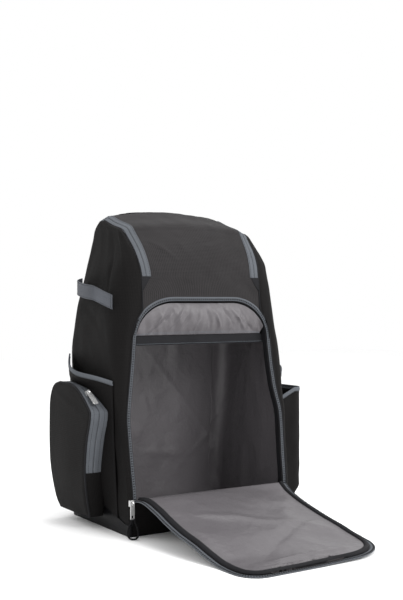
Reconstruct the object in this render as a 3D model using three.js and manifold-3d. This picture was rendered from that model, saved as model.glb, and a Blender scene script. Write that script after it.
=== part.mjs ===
// A backpack for bats and ball gear. It stands on its base, with its front panel unzipped and
// lying forward as a flap. Millimetres, +Z up, the front faces -Y. Left is -X and right is +X,
// as seen from in front. The origin is on the floor under the middle of the body.

import * as THREE from 'three';
import { mergeVertices } from 'three/addons/utils/BufferGeometryUtils.js';
import Module from 'manifold-3d';

const wasm = await Module();
wasm.setup();

const { lerp, clamp, smoothstep, degToRad } = THREE.MathUtils;
const left = -1;
const right = 1;

// Body
const bagHeight = 565;
const bagHalf = 178;
const bagFore = 128;
const bagAft = 110;
const noseRadius = 42;
const heelRadius = 30;
const wall = 2.4;
const gap = 0.3;
const backPadding = 7;
const backSwell = 5;
const frontSwell = 4;
const lipSwell = 3;
const basePlate = 2.6;
const bootNoseHeight = 20;
const bootHeelHeight = 41;

// Front opening and the flap cut out of it
const lipHeight = 0.1027 * bagHeight;
const openingTop = 0.7115 * bagHeight;
const openingMargin = 14;
const openingHalf = bagHalf - openingMargin;
const archSpring = 0.5805 * bagHeight;
const archFlat = 63;
const openingTape = 6;
const flapLength = 0.936 * (openingTop - lipHeight);
const flapLeftFlat = 112;
const flapRightFlat = 54;
const facingDepth = 12;
const facingThickness = 1.5;
const flapTape = 9;
const flapTapeThickness = 1.2;
const flapWall = 2.5;
const flapBindingWidth = 9;
const flapBindingHeight = 4.5;
const flapLiningThickness = 1.5;

// Inside
const liningThickness = 1.5;
const liningInset = 6;
const liningBackInset = 9.5;
const shelfHeight = 0.5628 * bagHeight;
const shelfThickness = 2.5;
const bandHeight = 17;
const bandThickness = 2;
const curtainThickness = 1.4;
const curtainSwell = 10;
const curtainMargin = 32;
const curtainHalf = openingHalf - curtainMargin;
const curtainPleats = 12;
const pleatDepth = 2.4;

// Lid zip
const seamTop = 0.9575 * bagHeight;
const zipFoot = 0.7752 * bagHeight;
const garageFoot = zipFoot - 26;
const lidTape = 18;
const lidTapeThickness = 1.6;
const lidTapeLean = degToRad(30);
const crownSwell = 15;
const rearSwell = 1;

// Bat sleeves and their straps
const sleeveFore = 90;
const sleeveAft = 75;
const leftSleeveDepth = 30;
const rightSleeveDepth = 46;
const sleeveMouth = 0.531 * bagHeight;
const sleeveWall = 1.6;
const sideClearance = 0.6;
const bindingHeight = 9;
const bindingThickness = 2.6;
const strapWidth = 25;
const strapThickness = 1.8;
const strapOut = 38;

// Zipped pocket on the left
const pocketStand = 39;
const pocketOut = bagHalf + pocketStand;
const pocketFore = 84;
const pocketAft = 84;
const pocketTop = 0.4442 * bagHeight;
const pocketFoot = 22;
const pocketSwell = 6;
const pocketCrown = 3;
const pocketWall = 2;
const pocketZipFoot = 0.1788 * bagHeight;

// Bottle pocket on the right
const bottleStand = 74;
const bottleOut = bagHalf + bottleStand;
const bottleFore = 70;
const bottleAft = 68;
const bottleCorner = 24;
const bottleFoot = 15;
const bottleMouthInner = 0.3699 * bagHeight;
const bottleMouthOuter = bottleMouthInner + 20;
const bottleWall = 1.8;

// Sliders, pulls and the cord loop
const sliderWidth = 8;
const sliderLength = 10;
const sliderHeight = 4.5;
const bailWidth = 2.4;
const bailOuter = 4.4;
const bailInner = 2.7;
const bailRise = 0.9;
const pivotRise = 1.5;
const tabWidth = 9;
const tabThickness = 1.6;
const tabReach = 34;
const tabEyeWidth = 3.4;
const tabEyeReach = 5.2;
const mainPullWidth = 7.5;
const mainPullLength = 27;
const cordDiameter = 3;

// Back
const shoulderWidth = 66;
const shoulderThickness = 10;
const webbingWidth = 25;
const webbingThickness = 2;
const handleWidth = 22;
const handleThickness = 3.4;
const handleHalf = 52;
const adjusterWidth = 35;
const adjusterThickness = 6;

// Body sections from the floor up. fore, aft and half are shares of bagFore, bagAft and bagHalf;
// nose and heel are shares of the corner radii; seam and rear are shares of bagHalf and give the
// front seam and the back seam of a side.
const sections = [
  { up: 0.0, fore: 0.977, aft: 0.964, half: 0.93, nose: 0.1, heel: 0.73, seam: 0.697, rear: 0.775 },
  { up: 0.103, fore: 1.0, aft: 0.98, half: 0.944, nose: 0.143, heel: 0.87, seam: 0.697, rear: 0.787 },
  { up: 0.212, fore: 0.945, aft: 0.96, half: 0.963, nose: 0.17, heel: 0.93, seam: 0.697, rear: 0.793 },
  { up: 0.327, fore: 0.883, aft: 0.92, half: 0.978, nose: 0.21, heel: 1.0, seam: 0.697, rear: 0.8 },
  { up: 0.425, fore: 0.81, aft: 0.88, half: 0.989, nose: 0.36, heel: 1.0, seam: 0.697, rear: 0.8 },
  { up: 0.538, fore: 0.78, aft: 0.84, half: 1.0, nose: 0.6, heel: 1.0, seam: 0.697, rear: 0.8 },
  { up: 0.664, fore: 0.758, aft: 0.77, half: 0.969, nose: 0.95, heel: 1.0, seam: 0.697, rear: 0.78 },
  { up: 0.775, fore: 0.719, aft: 0.68, half: 0.91, nose: 0.88, heel: 0.93, seam: 0.697, rear: 0.737 },
  { up: 0.819, fore: 0.664, aft: 0.655, half: 0.876, nose: 0.64, heel: 0.87, seam: 0.708, rear: 0.72 },
  { up: 0.858, fore: 0.5625, aft: 0.635, half: 0.834, nose: 0.43, heel: 0.73, seam: 0.719, rear: 0.705 },
  { up: 0.894, fore: 0.42, aft: 0.61, half: 0.803, nose: 0.26, heel: 0.56, seam: 0.73, rear: 0.703 },
  { up: 0.922, fore: 0.29, aft: 0.58, half: 0.784, nose: 0.15, heel: 0.33, seam: 0.739, rear: 0.722 },
  { up: 0.938, fore: 0.03, aft: 0.53, half: 0.772, nose: 0.095, heel: 0.2, seam: 0.743, rear: 0.735 },
  { up: 0.9575, fore: -0.22, aft: 0.42, half: 0.756, nose: 0.035, heel: 0.07, seam: 0.744, rear: 0.739 },
];

// Half width of the front opening, as a share of openingHalf, up to where its top corners start
const openingSides = [
  { rise: 0.0, half: 0.982 },
  { rise: 0.13, half: 0.988 },
  { rise: 0.37, half: 1.0 },
  { rise: 0.53, half: 0.951 },
  { rise: 0.66, half: 0.915 },
  { rise: 0.785, half: 0.89 },
];

// The flap seen from the side: ahead is a share of flapLength; up and sag are shares of lipHeight, for
// its left edge and for its right edge, which sinks sooner
const flapProfile = [
  { along: 0.0, ahead: 0.0, up: 1.0, sag: 1.0 },
  { along: 0.065, ahead: 0.065, up: 1.05, sag: 0.8 },
  { along: 0.204, ahead: 0.2, up: 0.888, sag: 0.58 },
  { along: 0.295, ahead: 0.287, up: 0.733, sag: 0.475 },
  { along: 0.417, ahead: 0.404, up: 0.552, sag: 0.345 },
  { along: 0.558, ahead: 0.542, up: 0.362, sag: 0.215 },
  { along: 0.666, ahead: 0.6435, up: 0.172, sag: 0.1 },
  { along: 0.76, ahead: 0.735, up: 0.034, sag: 0.05 },
  { along: 0.851, ahead: 0.825, up: 0.0, sag: 0.06 },
  { along: 1.0, ahead: 0.974, up: 0.0, sag: 0.09 },
];

// Half width of the flap on its left and its right, as a share of openingHalf, and where each of its
// end corners starts, as a share of flapLength
const flapSides = [
  { along: 0.0, left: 0.982, right: 0.982 },
  { along: 0.204, left: 0.974, right: 0.95 },
  { along: 0.417, left: 0.98, right: 0.93 },
  { along: 0.558, left: 0.962, right: 0.92 },
  { along: 0.666, left: 0.94, right: 0.912 },
  { along: 0.76, left: 0.92, right: 0.9 },
  { along: 0.87, left: 0.912, right: 0.9 },
];
const flapLeftSpring = 0.87;
const flapRightSpring = 0.66;

// How far a sleeve stands off the side, as a share of its depth, up to its mouth
const sleeveSwell = [
  { rise: 0.0, off: 0.0 },
  { rise: 0.13, off: 0.03 },
  { rise: 0.33, off: 0.42 },
  { rise: 0.8, off: 0.5 },
  { rise: 0.88, off: 0.95 },
  { rise: 1.0, off: 1.0 },
];

// The sagging mouth of a sleeve from front to back, up as a share of sleeveMouth
const sleeveMouthLine = [
  { back: 0.0, up: 0.867 },
  { back: 0.2, up: 0.893 },
  { back: 0.5, up: 0.915 },
  { back: 0.8, up: 0.955 },
  { back: 1.0, up: 1.0 },
];

// Front and back edges of the zipped pocket, as shares of pocketFore and pocketAft, and the swell of
// its outer face, as a share of pocketSwell
const pocketEdges = [
  { up: 0.0, fore: 0.46, aft: 0.9, swell: -3.0 },
  { up: 0.05, fore: 0.5, aft: 0.98, swell: -2.5 },
  { up: 0.1, fore: 0.52, aft: 1.0, swell: -2.0 },
  { up: 0.24, fore: 0.58, aft: 1.0, swell: -0.9 },
  { up: 0.4, fore: 0.66, aft: 0.99, swell: -0.1 },
  { up: 0.6, fore: 0.79, aft: 0.97, swell: 0.2 },
  { up: 0.8, fore: 0.93, aft: 0.97, swell: 0.1 },
  { up: 0.86, fore: 0.77, aft: 0.95, swell: 0.05 },
  { up: 0.93, fore: 0.5, aft: 0.87, swell: 0.0 },
  { up: 0.975, fore: 0.26, aft: 0.74, swell: 0.0 },
  { up: 1.0, fore: -0.05, aft: 0.5, swell: 0.0 },
];

// Colours and finishes
const finishes = {
  sideCloth: { color: 0x262524, roughness: 0.85, metalness: 0 },
  ripstop: { color: 0x343233, roughness: 0.75, metalness: 0 },
  coatedCloth: { color: 0x1f2022, roughness: 0.55, metalness: 0 },
  lining: { color: 0x7d7a7d, roughness: 0.6, metalness: 0 },
  darkBinding: { color: 0x2a2a2c, roughness: 0.8, metalness: 0 },
  zipTape: { color: 0x6b737b, roughness: 0.75, metalness: 0 },
  webbing: { color: 0x5f656c, roughness: 0.7, metalness: 0 },
  blackWebbing: { color: 0x1c1c1e, roughness: 0.7, metalness: 0 },
  airMesh: { color: 0x222326, roughness: 0.9, metalness: 0 },
  metal: { color: 0xb9b9b9, roughness: 0.3, metalness: 1 },
  nylon: { color: 0x18181a, roughness: 0.4, metalness: 0 },
  cord: { color: 0x151516, roughness: 0.8, metalness: 0 },
};

function makePiece(name, finish, geometry) {
  const mesh = new THREE.Mesh(geometry, new THREE.MeshStandardMaterial(finishes[finish]));
  mesh.name = name;
  return mesh;
}

// Reads a column of a table at a place between its rows, on a curve that never overshoots
function read(table, place, column, at) {
  const last = table.length - 1;
  if (at <= table[0][place]) {
    return table[0][column];
  }
  if (at >= table[last][place]) {
    return table[last][column];
  }
  const rate = (row) => {
    const [low, high] = [table[row], table[row + 1]];
    return (high[column] - low[column]) / (high[place] - low[place]);
  };
  const slope = (row) => {
    if (row === 0) {
      return rate(0);
    }
    if (row === last) {
      return rate(last - 1);
    }
    const product = rate(row - 1) * rate(row);
    return product <= 0 ? 0 : (2 * product) / (rate(row - 1) + rate(row));
  };
  let row = 0;
  while (at > table[row + 1][place]) {
    row += 1;
  }
  const span = table[row + 1][place] - table[row][place];
  const t = (at - table[row][place]) / span;
  const start = table[row][column];
  const end = table[row + 1][column];
  const pull = slope(row) * span;
  const push = slope(row + 1) * span;
  const square = t * t;
  const cube = square * t;
  return (
    start * (2 * cube - 3 * square + 1) +
    pull * (cube - 2 * square + t) +
    end * (3 * square - 2 * cube) +
    push * (cube - square)
  );
}

function closedGeometry(points, quads) {
  const triangles = [];
  for (const [a, b, c, d] of quads) {
    if (points[a].distanceTo(points[c]) <= points[b].distanceTo(points[d])) {
      triangles.push([a, b, c], [a, c, d]);
    } else {
      triangles.push([a, b, d], [b, c, d]);
    }
  }
  const volume = triangles.reduce(
    (sum, [a, b, c]) => sum + points[a].dot(points[b].clone().cross(points[c])),
    0,
  );
  const index = triangles.flatMap(([a, b, c]) => (volume < 0 ? [a, c, b] : [a, b, c]));
  const geometry = new THREE.BufferGeometry();
  const position = points.flatMap((point) => point.toArray());
  geometry.setAttribute('position', new THREE.Float32BufferAttribute(position, 3));
  geometry.setIndex(index);
  geometry.computeVertexNormals();
  return geometry;
}

// A sheet with a thickness: a grid of outer points, and the same points moved inwards
function skin(grid, thickness, outwardAt) {
  const rows = grid.length;
  const columns = grid[0].length;
  const outer = grid.flat();
  const inner = outer.map((point) => point.clone().addScaledVector(outwardAt(point), -thickness));
  const count = outer.length;
  const at = (row, column) => row * columns + column;
  const quads = [];
  for (let row = 0; row + 1 < rows; row += 1) {
    for (let column = 0; column + 1 < columns; column += 1) {
      const quad = [at(row, column), at(row, column + 1), at(row + 1, column + 1), at(row + 1, column)];
      quads.push(quad, quad.map((corner) => corner + count).reverse());
    }
  }
  const rim = [];
  for (let column = 0; column < columns - 1; column += 1) {
    rim.push(at(0, column));
  }
  for (let row = 0; row < rows - 1; row += 1) {
    rim.push(at(row, columns - 1));
  }
  for (let column = columns - 1; column > 0; column -= 1) {
    rim.push(at(rows - 1, column));
  }
  for (let row = rows - 1; row > 0; row -= 1) {
    rim.push(at(row, 0));
  }
  rim.forEach((corner, place) => {
    const next = rim[(place + 1) % rim.length];
    quads.push([next, corner, corner + count, next + count]);
  });
  return closedGeometry([...outer, ...inner], quads);
}

// A solid through rings of points, flat at both ends. A ring has an even number of points, and its
// two halves run side by side, so an end is closed by a strip between them.
function loft(rings) {
  const size = rings[0].length;
  const quads = [];
  for (let ring = 0; ring + 1 < rings.length; ring += 1) {
    for (let corner = 0; corner < size; corner += 1) {
      const next = (corner + 1) % size;
      quads.push([ring * size + corner, ring * size + next, (ring + 1) * size + next, (ring + 1) * size + corner]);
    }
  }
  const end = (rings.length - 1) * size;
  for (let corner = 0; corner < size / 2 - 1; corner += 1) {
    const cap = [corner, size - 1 - corner, size - 2 - corner, corner + 1];
    quads.push(cap, cap.map((place) => place + end).reverse());
  }
  return closedGeometry(rings.flat(), quads);
}

function tangentAt(points, place) {
  const before = points[Math.max(place - 1, 0)];
  const after = points[Math.min(place + 1, points.length - 1)];
  return after.clone().sub(before).normalize();
}

// A band along a path. The profile gives corners as shares of its width and its thickness.
function ribbon(path, acrossAt, width, thickness, profile) {
  return loft(
    path.map((point, place) => {
      const along = tangentAt(path, place);
      const guide = acrossAt(point, place);
      const face = along.clone().cross(guide).normalize();
      const across = face.clone().cross(along).normalize();
      return profile.map(([side, lift]) =>
        point.clone().addScaledVector(across, side * width).addScaledVector(face, lift * thickness),
      );
    }),
  );
}

const flatProfile = [
  [-0.5, -0.5],
  [0.5, -0.5],
  [0.5, 0.5],
  [-0.5, 0.5],
];
const paddedProfile = [
  [-0.5, 0],
  [-0.44, -0.42],
  [0, -0.5],
  [0.44, -0.42],
  [0.5, 0],
  [0.44, 0.42],
  [0, 0.5],
  [-0.44, 0.42],
];

function smoothPath(points, steps) {
  return new THREE.CatmullRomCurve3(points).getPoints(steps);
}

function shares(steps) {
  return Array.from({ length: steps + 1 }, (_, step) => step / steps);
}

function plateOf(outline, depth) {
  return new THREE.ExtrudeGeometry(new THREE.Shape(outline), { depth, bevelEnabled: false });
}

// Body surface

function sectionAt(up) {
  const column = (name) => read(sections, 'up', name, up / bagHeight);
  return {
    fore: -bagFore * column('fore'),
    aft: bagAft * column('aft'),
    half: bagHalf * column('half'),
    nose: noseRadius * column('nose'),
    heel: heelRadius * column('heel'),
    seam: bagHalf * column('seam'),
    rear: bagHalf * column('rear'),
  };
}

const openingRise = openingTop - lipHeight;

function archHalf(up) {
  if (up <= archSpring) {
    return openingHalf * read(openingSides, 'rise', 'half', (up - lipHeight) / openingRise);
  }
  const share = (up - archSpring) / (openingTop - archSpring);
  return share >= 1 ? 0 : archFlat + (archHalf(archSpring) - archFlat) * Math.sqrt(1 - share * share);
}

function archRise(across, inset = 0) {
  const reach = archHalf(archSpring) - archFlat - inset;
  const beyond = Math.max(Math.abs(across) - archFlat, 0) / reach;
  return archSpring + (openingTop - archSpring - inset) * Math.sqrt(Math.max(1 - beyond * beyond, 0));
}

const seamHalf = sectionAt(zipFoot).seam;
const archMeet = archRise(seamHalf);

// Front edge of a side: the opening's edge, or the seam to the front where that lies further out
function edgeHalf(up) {
  const section = sectionAt(up);
  return up < archMeet ? Math.max(archHalf(up), section.seam) : section.seam;
}

// Stations round a side, from its front edge to its back seam
const stations = [
  { part: 'front', share: 0 },
  { part: 'nose', share: 0 },
  { part: 'nose', share: 0.35 },
  { part: 'nose', share: 0.7 },
  { part: 'side', share: 0 },
  { part: 'side', share: 0.33 },
  { part: 'side', share: 0.67 },
  { part: 'side', share: 1 },
  { part: 'heel', share: 0.5 },
  { part: 'heel', share: 1 },
  { part: 'back', share: 1 },
];

function bodyPoint(station, up, side) {
  const { fore, aft, half, nose, heel, rear } = sectionAt(up);
  const turn = (station.share * Math.PI) / 2;
  const places = {
    front: () => [edgeHalf(up), fore],
    nose: () => [half - nose + nose * Math.sin(turn), fore + nose - nose * Math.cos(turn)],
    side: () => [half, lerp(fore + nose, aft - heel, station.share)],
    heel: () => [half - heel + heel * Math.cos(turn), aft - heel + heel * Math.sin(turn)],
    back: () => [rear, aft],
  };
  const [across, depth] = places[station.part]();
  return new THREE.Vector3(side * across, depth, up);
}

// Outward direction for every cloth of the body, from a core that narrows under the lid, so that
// neighbours thicken the same way and stay apart
function bodyOutward(point) {
  const lift = clamp((point.z - openingTop) / (bagHeight - openingTop), 0, 1);
  const half = bagHalf * lerp(0.75, 0.4, lift);
  const fore = -bagFore * lerp(0.62, 0.04, lift);
  const aft = bagAft * lerp(0.64, 0.36, lift);
  const core = new THREE.Vector3(
    clamp(point.x, -half, half),
    clamp(point.y, fore, aft),
    Math.min(point.z, bagHeight * 0.83),
  );
  return point.clone().sub(core).normalize();
}

function bootTop(depth) {
  const share = clamp((depth + bagFore * 0.867) / (bagFore * 0.547), 0, 1);
  return lerp(bootNoseHeight, bootHeelHeight, share);
}

const zipShares = [0, 0.12, 0.24, 0.36, 0.48, 0.6, 0.7, 0.8, 0.9, 1];
const zipLevels = zipShares.map((share) => lerp(zipFoot, seamTop, share));
const zipRearFoot = lerp(zipFoot, seamTop, 0.8);
const archLevels = [0, 0.2, 0.4, 0.6, 0.8, 1].map((share) => lerp(lipHeight, archSpring, share));
archLevels.push((archSpring + archMeet) / 2, archMeet);

function sidePanel(side) {
  const levels = [...archLevels, garageFoot, ...zipLevels];
  const foot = stations.map((station) => {
    const low = bodyPoint(station, bootHeelHeight, side);
    return bodyPoint(station, bootTop(low.y), side);
  });
  const grid = levels.map((up) => stations.map((station) => bodyPoint(station, up, side)));
  return skin([foot, ...grid], wall, bodyOutward);
}

function boot(side) {
  const grid = [0, 0.5, 1].map((share) =>
    stations.map((station) => {
      const low = bodyPoint(station, bootHeelHeight, side);
      return bodyPoint(station, share * (bootTop(low.y) - gap), side);
    }),
  );
  return skin(grid, wall, bodyOutward);
}

function frontLowerPanel() {
  const half = archHalf(lipHeight) - gap;
  const grid = shares(3).map((share) =>
    shares(8).map((place) => {
      const across = lerp(-half, half, place);
      const up = share * (lipHeight - gap);
      const swell = lipSwell * Math.sin(share * Math.PI) * (1 - (across / half) ** 2);
      return new THREE.Vector3(across, sectionAt(up).fore - swell, up);
    }),
  );
  return skin(grid, wall, bodyOutward);
}

function basePanel() {
  const inset = wall + 6 * gap;
  const outline = [];
  for (const side of [right, left]) {
    const points = stations.map((station) => {
      const { x, y } = bodyPoint(station, 0, side);
      return new THREE.Vector2(x - side * inset, y);
    });
    outline.push(...(side === right ? points : points.reverse()));
  }
  const { fore, aft } = sectionAt(0);
  const deepest = aft - backPadding - gap;
  outline.forEach((point) => {
    point.y = clamp(point.y, fore + inset, deepest);
  });
  const tidy = outline.filter((point, place) => point.distanceTo(outline.at(place - 1)) > gap);
  return plateOf(tidy, basePlate);
}

// The back is padded: it swells behind the flat back plane, most at half its height
function backFace(across, up) {
  const { aft, rear } = sectionAt(up);
  const share = clamp(across / rear, -1, 1);
  const rise = Math.sin(clamp(up / zipRearFoot, 0, 1) * Math.PI);
  return aft + backSwell * rise * (1 - share * share);
}

function backPanel() {
  const low = [0, bootHeelHeight / 2, bootHeelHeight];
  const high = zipLevels.filter((up) => up < zipRearFoot - wall);
  const levels = [...low, ...archLevels, garageFoot, ...high, zipRearFoot - wall];
  const grid = levels.map((up) =>
    shares(6).map((place) => {
      const across = lerp(-1, 1, place) * (sectionAt(up).rear - 8 * gap);
      return new THREE.Vector3(across, backFace(across, up), up);
    }),
  );
  return skin(grid, backPadding, () => new THREE.Vector3(0, 1, 0));
}

// Lid, its zip tapes and the garages under their ends

// The line along the outer edge of the lid zip, over a shoulder from the front to the back
function lidSeam() {
  const top = seamTop;
  const front = zipLevels.map((up) => ({ up, share: 0 }));
  const crown = [1 / 3, 2 / 3, 1].map((share) => ({ up: top, share }));
  const rear = [zipRearFoot + lidTape, lerp(zipFoot, top, 0.9), zipRearFoot];
  const back = rear.map((up) => ({ up, share: 1 }));
  return [...front, ...crown, ...back].map(({ up, share }) => {
    const section = sectionAt(up);
    const outer = new THREE.Vector3(
      lerp(section.seam, section.rear, share),
      lerp(section.fore, section.aft, share),
      up,
    );
    const foot = share === 1 ? zipRearFoot : zipFoot;
    const lean = lidTapeLean * smoothstep(up, foot, top);
    const inner = outer.clone().add(new THREE.Vector3(-Math.cos(lean), 0, Math.sin(lean)).multiplyScalar(lidTape));
    const low = share === 1 ? rearSwell : frontSwell;
    return { outer, inner, swell: lerp(low, crownSwell, smoothstep(up, foot, top)) };
  });
}

const seam = lidSeam();
const lidEnd = seam.length - 2;

// A row across the bag between the inner edges of both side tapes, swelling outwards
function crossRow(place, trim, steps) {
  const { inner, swell } = seam[place];
  const along = tangentAt(seam.map((point) => point.inner), place);
  const outward = new THREE.Vector3(0, -along.z, along.y).normalize();
  return shares(steps).map((step) => {
    const share = lerp(-1, 1, step);
    const point = new THREE.Vector3(share * (inner.x - trim), inner.y, inner.z);
    return point.addScaledVector(outward, swell * (1 - share * share));
  });
}

const lidColumns = 10;

function frontPoint(across, up) {
  const swell = frontSwell * Math.max(1 - (across / seamHalf) ** 2, 0);
  return new THREE.Vector3(across, sectionAt(up).fore - swell, up);
}

function lidPanel() {
  const edge = seamHalf - gap;
  const columns = shares(lidColumns).map((step) => lerp(-1, 1, step));
  const rows = [columns.map((share) => frontPoint(share * edge, archRise(share * edge)))];
  const garage = [0, 0.5];
  garage.forEach((share) => {
    const up = lerp(garageFoot, zipFoot, share);
    const half = edge - share * lidTape;
    rows.push(columns.map((place) => frontPoint(place * half, up)));
  });
  for (let place = 0; place <= lidEnd - 1; place += 1) {
    rows.push(crossRow(place, gap, lidColumns));
  }
  return skin(rows, wall, bodyOutward);
}

function lidSideTape(side) {
  const grid = seam.map(({ outer, inner }) =>
    [gap, lidTape].map((inset) => {
      const point = outer.clone().lerp(inner, inset / lidTape);
      return new THREE.Vector3(side * point.x, point.y, point.z);
    }),
  );
  return skin(grid, lidTapeThickness, bodyOutward);
}

function lidBackTape() {
  const rows = [crossRow(lidEnd - 1, gap, lidColumns), crossRow(lidEnd + 1, gap, lidColumns)];
  rows[0].forEach((point) => {
    point.z -= gap;
  });
  return skin(rows, lidTapeThickness, bodyOutward);
}

function zipGarage(side) {
  const grid = [0.15, 0.55, 1].map((share) => {
    const up = lerp(garageFoot, zipFoot - gap, share);
    const inner = seamHalf - share * lidTape + gap;
    return [seamHalf - gap, inner].map((across) => new THREE.Vector3(side * across, sectionAt(up).fore, up));
  });
  return skin(grid, lidTapeThickness, bodyOutward);
}

// Front opening

// Moves an outline inwards. It starts at the foot of the right side and ends at the left one.
function insetLine(line, inset) {
  return line.map((point, place) => {
    const before = line[Math.max(place - 1, 0)];
    const after = line[Math.min(place + 1, line.length - 1)];
    const along = after.clone().sub(before).normalize();
    return new THREE.Vector2(point.x - along.y * inset, point.y + along.x * inset);
  });
}

function mirrorLine(half) {
  const other = half.slice(0, -1).reverse();
  return [...half, ...other.map((point) => new THREE.Vector2(-point.x, point.y))];
}

const archLine = mirrorLine([
  ...archLevels.map((up) => new THREE.Vector2(archHalf(up), up)),
  ...[0.8, 0.6, 0.4, 0.2, 0].map((share) => {
    const across = share * (seamHalf - gap);
    return new THREE.Vector2(across, archRise(across));
  }),
]);

function openingZipTape() {
  const outer = insetLine(archLine, gap);
  const inner = insetLine(archLine, gap + openingTape);
  const grid = outer.map((point, place) => [
    frontPoint(point.x, point.y),
    frontPoint(inner[place].x, inner[place].y),
  ]);
  return skin(grid, lidTapeThickness, bodyOutward);
}

const facingInset = openingTape + 2 * gap;

function openingFacing() {
  const outer = insetLine(archLine, facingInset);
  const inner = insetLine(archLine, facingInset + facingThickness);
  const rings = outer.map((point, place) => {
    const depth = frontPoint(point.x, point.y).y + lidTapeThickness + gap;
    const other = inner[place];
    return [
      new THREE.Vector3(point.x, depth, point.y),
      new THREE.Vector3(point.x, depth + facingDepth, point.y),
      new THREE.Vector3(other.x, depth + facingDepth, other.y),
      new THREE.Vector3(other.x, depth, other.y),
    ];
  });
  return loft(rings);
}

// Inside of the main compartment

function liningLoop(up, extra) {
  const half = (side) =>
    stations.map((station) => {
      const point = bodyPoint(station, up, side);
      const share = { heel: station.share, back: 1 }[station.part] ?? 0;
      const inset = lerp(liningInset, liningBackInset, share) + extra;
      const outward = bodyOutward(point);
      return point.addScaledVector(outward, -inset);
    });
  return [...half(right), ...half(left).reverse()];
}

function compartmentLining() {
  const top = shelfHeight - gap;
  const grid = shares(5).map((share) => liningLoop(lerp(basePlate + gap, top, share), 0));
  return skin(grid, liningThickness, bodyOutward);
}

function compartmentPlate(up, thickness, ahead) {
  const extra = liningThickness + gap;
  const front = sectionAt(up).fore + ahead;
  const outline = liningLoop(up, extra).map(({ x, y }) => new THREE.Vector2(x, Math.max(y, front)));
  const tidy = outline.filter((point, place) => point.distanceTo(outline.at(place - 1)) > gap);
  return plateOf(tidy, thickness);
}

const bandDepth = facingDepth + lidTapeThickness + 2 * gap;

function shelfBand() {
  const half = archHalf(shelfHeight) - openingTape;
  const grid = [shelfHeight, shelfHeight + bandHeight].map((up) =>
    shares(2).map((share) => new THREE.Vector3(lerp(-half, half, share), sectionAt(up).fore + bandDepth, up)),
  );
  return skin(grid, bandThickness, () => new THREE.Vector3(0, -1, 0));
}

function liningCurtain() {
  const foot = shelfHeight + bandHeight + gap;
  const inset = facingInset + facingThickness + 6 * gap;
  const columns = 2 * curtainPleats;
  const grid = shares(6).map((rise) =>
    shares(columns).map((step, column) => {
      const share = lerp(-1, 1, step);
      const across = share * curtainHalf;
      const up = lerp(foot, archRise(across, inset) - gap, rise);
      const fore = sectionAt(up).fore;
      const hang = lerp(bandDepth, 2 * gap, rise);
      const swell = curtainSwell * Math.sin(rise * Math.PI) * (1 - share * share);
      const pleat = pleatDepth * (column % 2) * (1 - 0.5 * rise);
      return new THREE.Vector3(across, fore + hang + pleatDepth - swell - pleat, up);
    }),
  );
  return skin(grid, curtainThickness, () => new THREE.Vector3(0, -1, 0));
}

// Flap

const flapRoot = bagFore + gap;

function flapPoint(across, along, lift) {
  const rightward = smoothstep(across, -0.4 * openingHalf, openingHalf);
  const at = (share) => {
    const ahead = flapRoot + flapLength * read(flapProfile, 'along', 'ahead', share);
    const up = read(flapProfile, 'along', 'up', share);
    const sag = read(flapProfile, 'along', 'sag', share);
    return new THREE.Vector3(across, -ahead, lipHeight * lerp(up, sag, rightward));
  };
  const share = clamp(along / flapLength, 0, 1);
  const step = 0.01;
  const tangent = at(Math.min(share + step, 1)).sub(at(Math.max(share - step, 0)));
  const upward = new THREE.Vector3(0, tangent.z, -tangent.y).normalize();
  return at(share).addScaledVector(upward, lift);
}

const flapSideShares = [0, 0.14, 0.27, 0.4, 0.55, 0.7, 0.85, 1];
const flapCornerTurns = [0.25, 0.5, 0.75, 1];

// Half of the flap's outline, from its root along one side and round the corner of its end
function flapEdge(side) {
  const edge = side === left ? 'left' : 'right';
  const spring = side === left ? flapLeftSpring : flapRightSpring;
  const flat = side === left ? flapLeftFlat : flapRightFlat;
  const half = (share) => openingHalf * read(flapSides, 'along', edge, share);
  const rows = flapSideShares.map((share) => [half(share * spring), share * spring * flapLength]);
  const [reach, rise] = [half(spring) - flat, (1 - spring) * flapLength];
  const corner = flapCornerTurns.map((share) => {
    const turn = (share * Math.PI) / 2;
    return [flat + reach * Math.cos(turn), spring * flapLength + rise * Math.sin(turn)];
  });
  return [...rows, ...corner].map(([across, along]) => new THREE.Vector2(side * across, along));
}

const flapRows = flapSideShares.length + flapCornerTurns.length;
const flapEnd = new THREE.Vector2((flapRightFlat - flapLeftFlat) / 2, flapLength);
const flapLine = [...flapEdge(right), flapEnd, ...flapEdge(left).reverse()];

function flapSheet(inset, lift, thickness) {
  const line = insetLine(flapLine, inset);
  const layer = (height) =>
    line.slice(0, flapRows).map((start, row) =>
      shares(8).map((step) => {
        const { x, y } = line.at(-1 - row).clone().lerp(start, step);
        return flapPoint(x, y, height);
      }),
    );
  const grid = layer(lift + thickness);
  const flat = layer(lift).flat();
  const pairs = new Map(grid.flat().map((point, place) => [point, flat[place]]));
  return skin(grid, thickness, (point) => point.clone().sub(pairs.get(point)).divideScalar(thickness));
}

function flapRing(profile) {
  const lines = profile.map(([inset]) => insetLine(flapLine, inset));
  return loft(flapLine.map((_, place) => profile.map(([, lift], corner) => {
    const { x, y } = lines[corner][place];
    return flapPoint(x, y, lift);
  })));
}

const flapBindingInset = flapTape + 2 * gap;
const flapLiningInset = flapBindingInset + flapBindingWidth + gap;
const flapCover = flapWall + 3 * gap;

function flapTapeRing() {
  const low = 2 * gap;
  const high = low + flapTapeThickness;
  return flapRing([
    [gap, low],
    [gap, high],
    [gap + flapTape, high],
    [gap + flapTape, low],
  ]);
}

function flapBindingRing() {
  const outer = flapBindingInset;
  const inner = outer + flapBindingWidth;
  const shoulder = flapBindingWidth * 0.22;
  const top = flapCover + flapBindingHeight;
  const side = flapCover + flapBindingHeight * 0.65;
  return flapRing([
    [outer, flapCover],
    [outer, side],
    [outer + shoulder, top],
    [inner - shoulder, top],
    [inner, side],
    [inner, flapCover],
  ]);
}

// Bat sleeves

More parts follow.
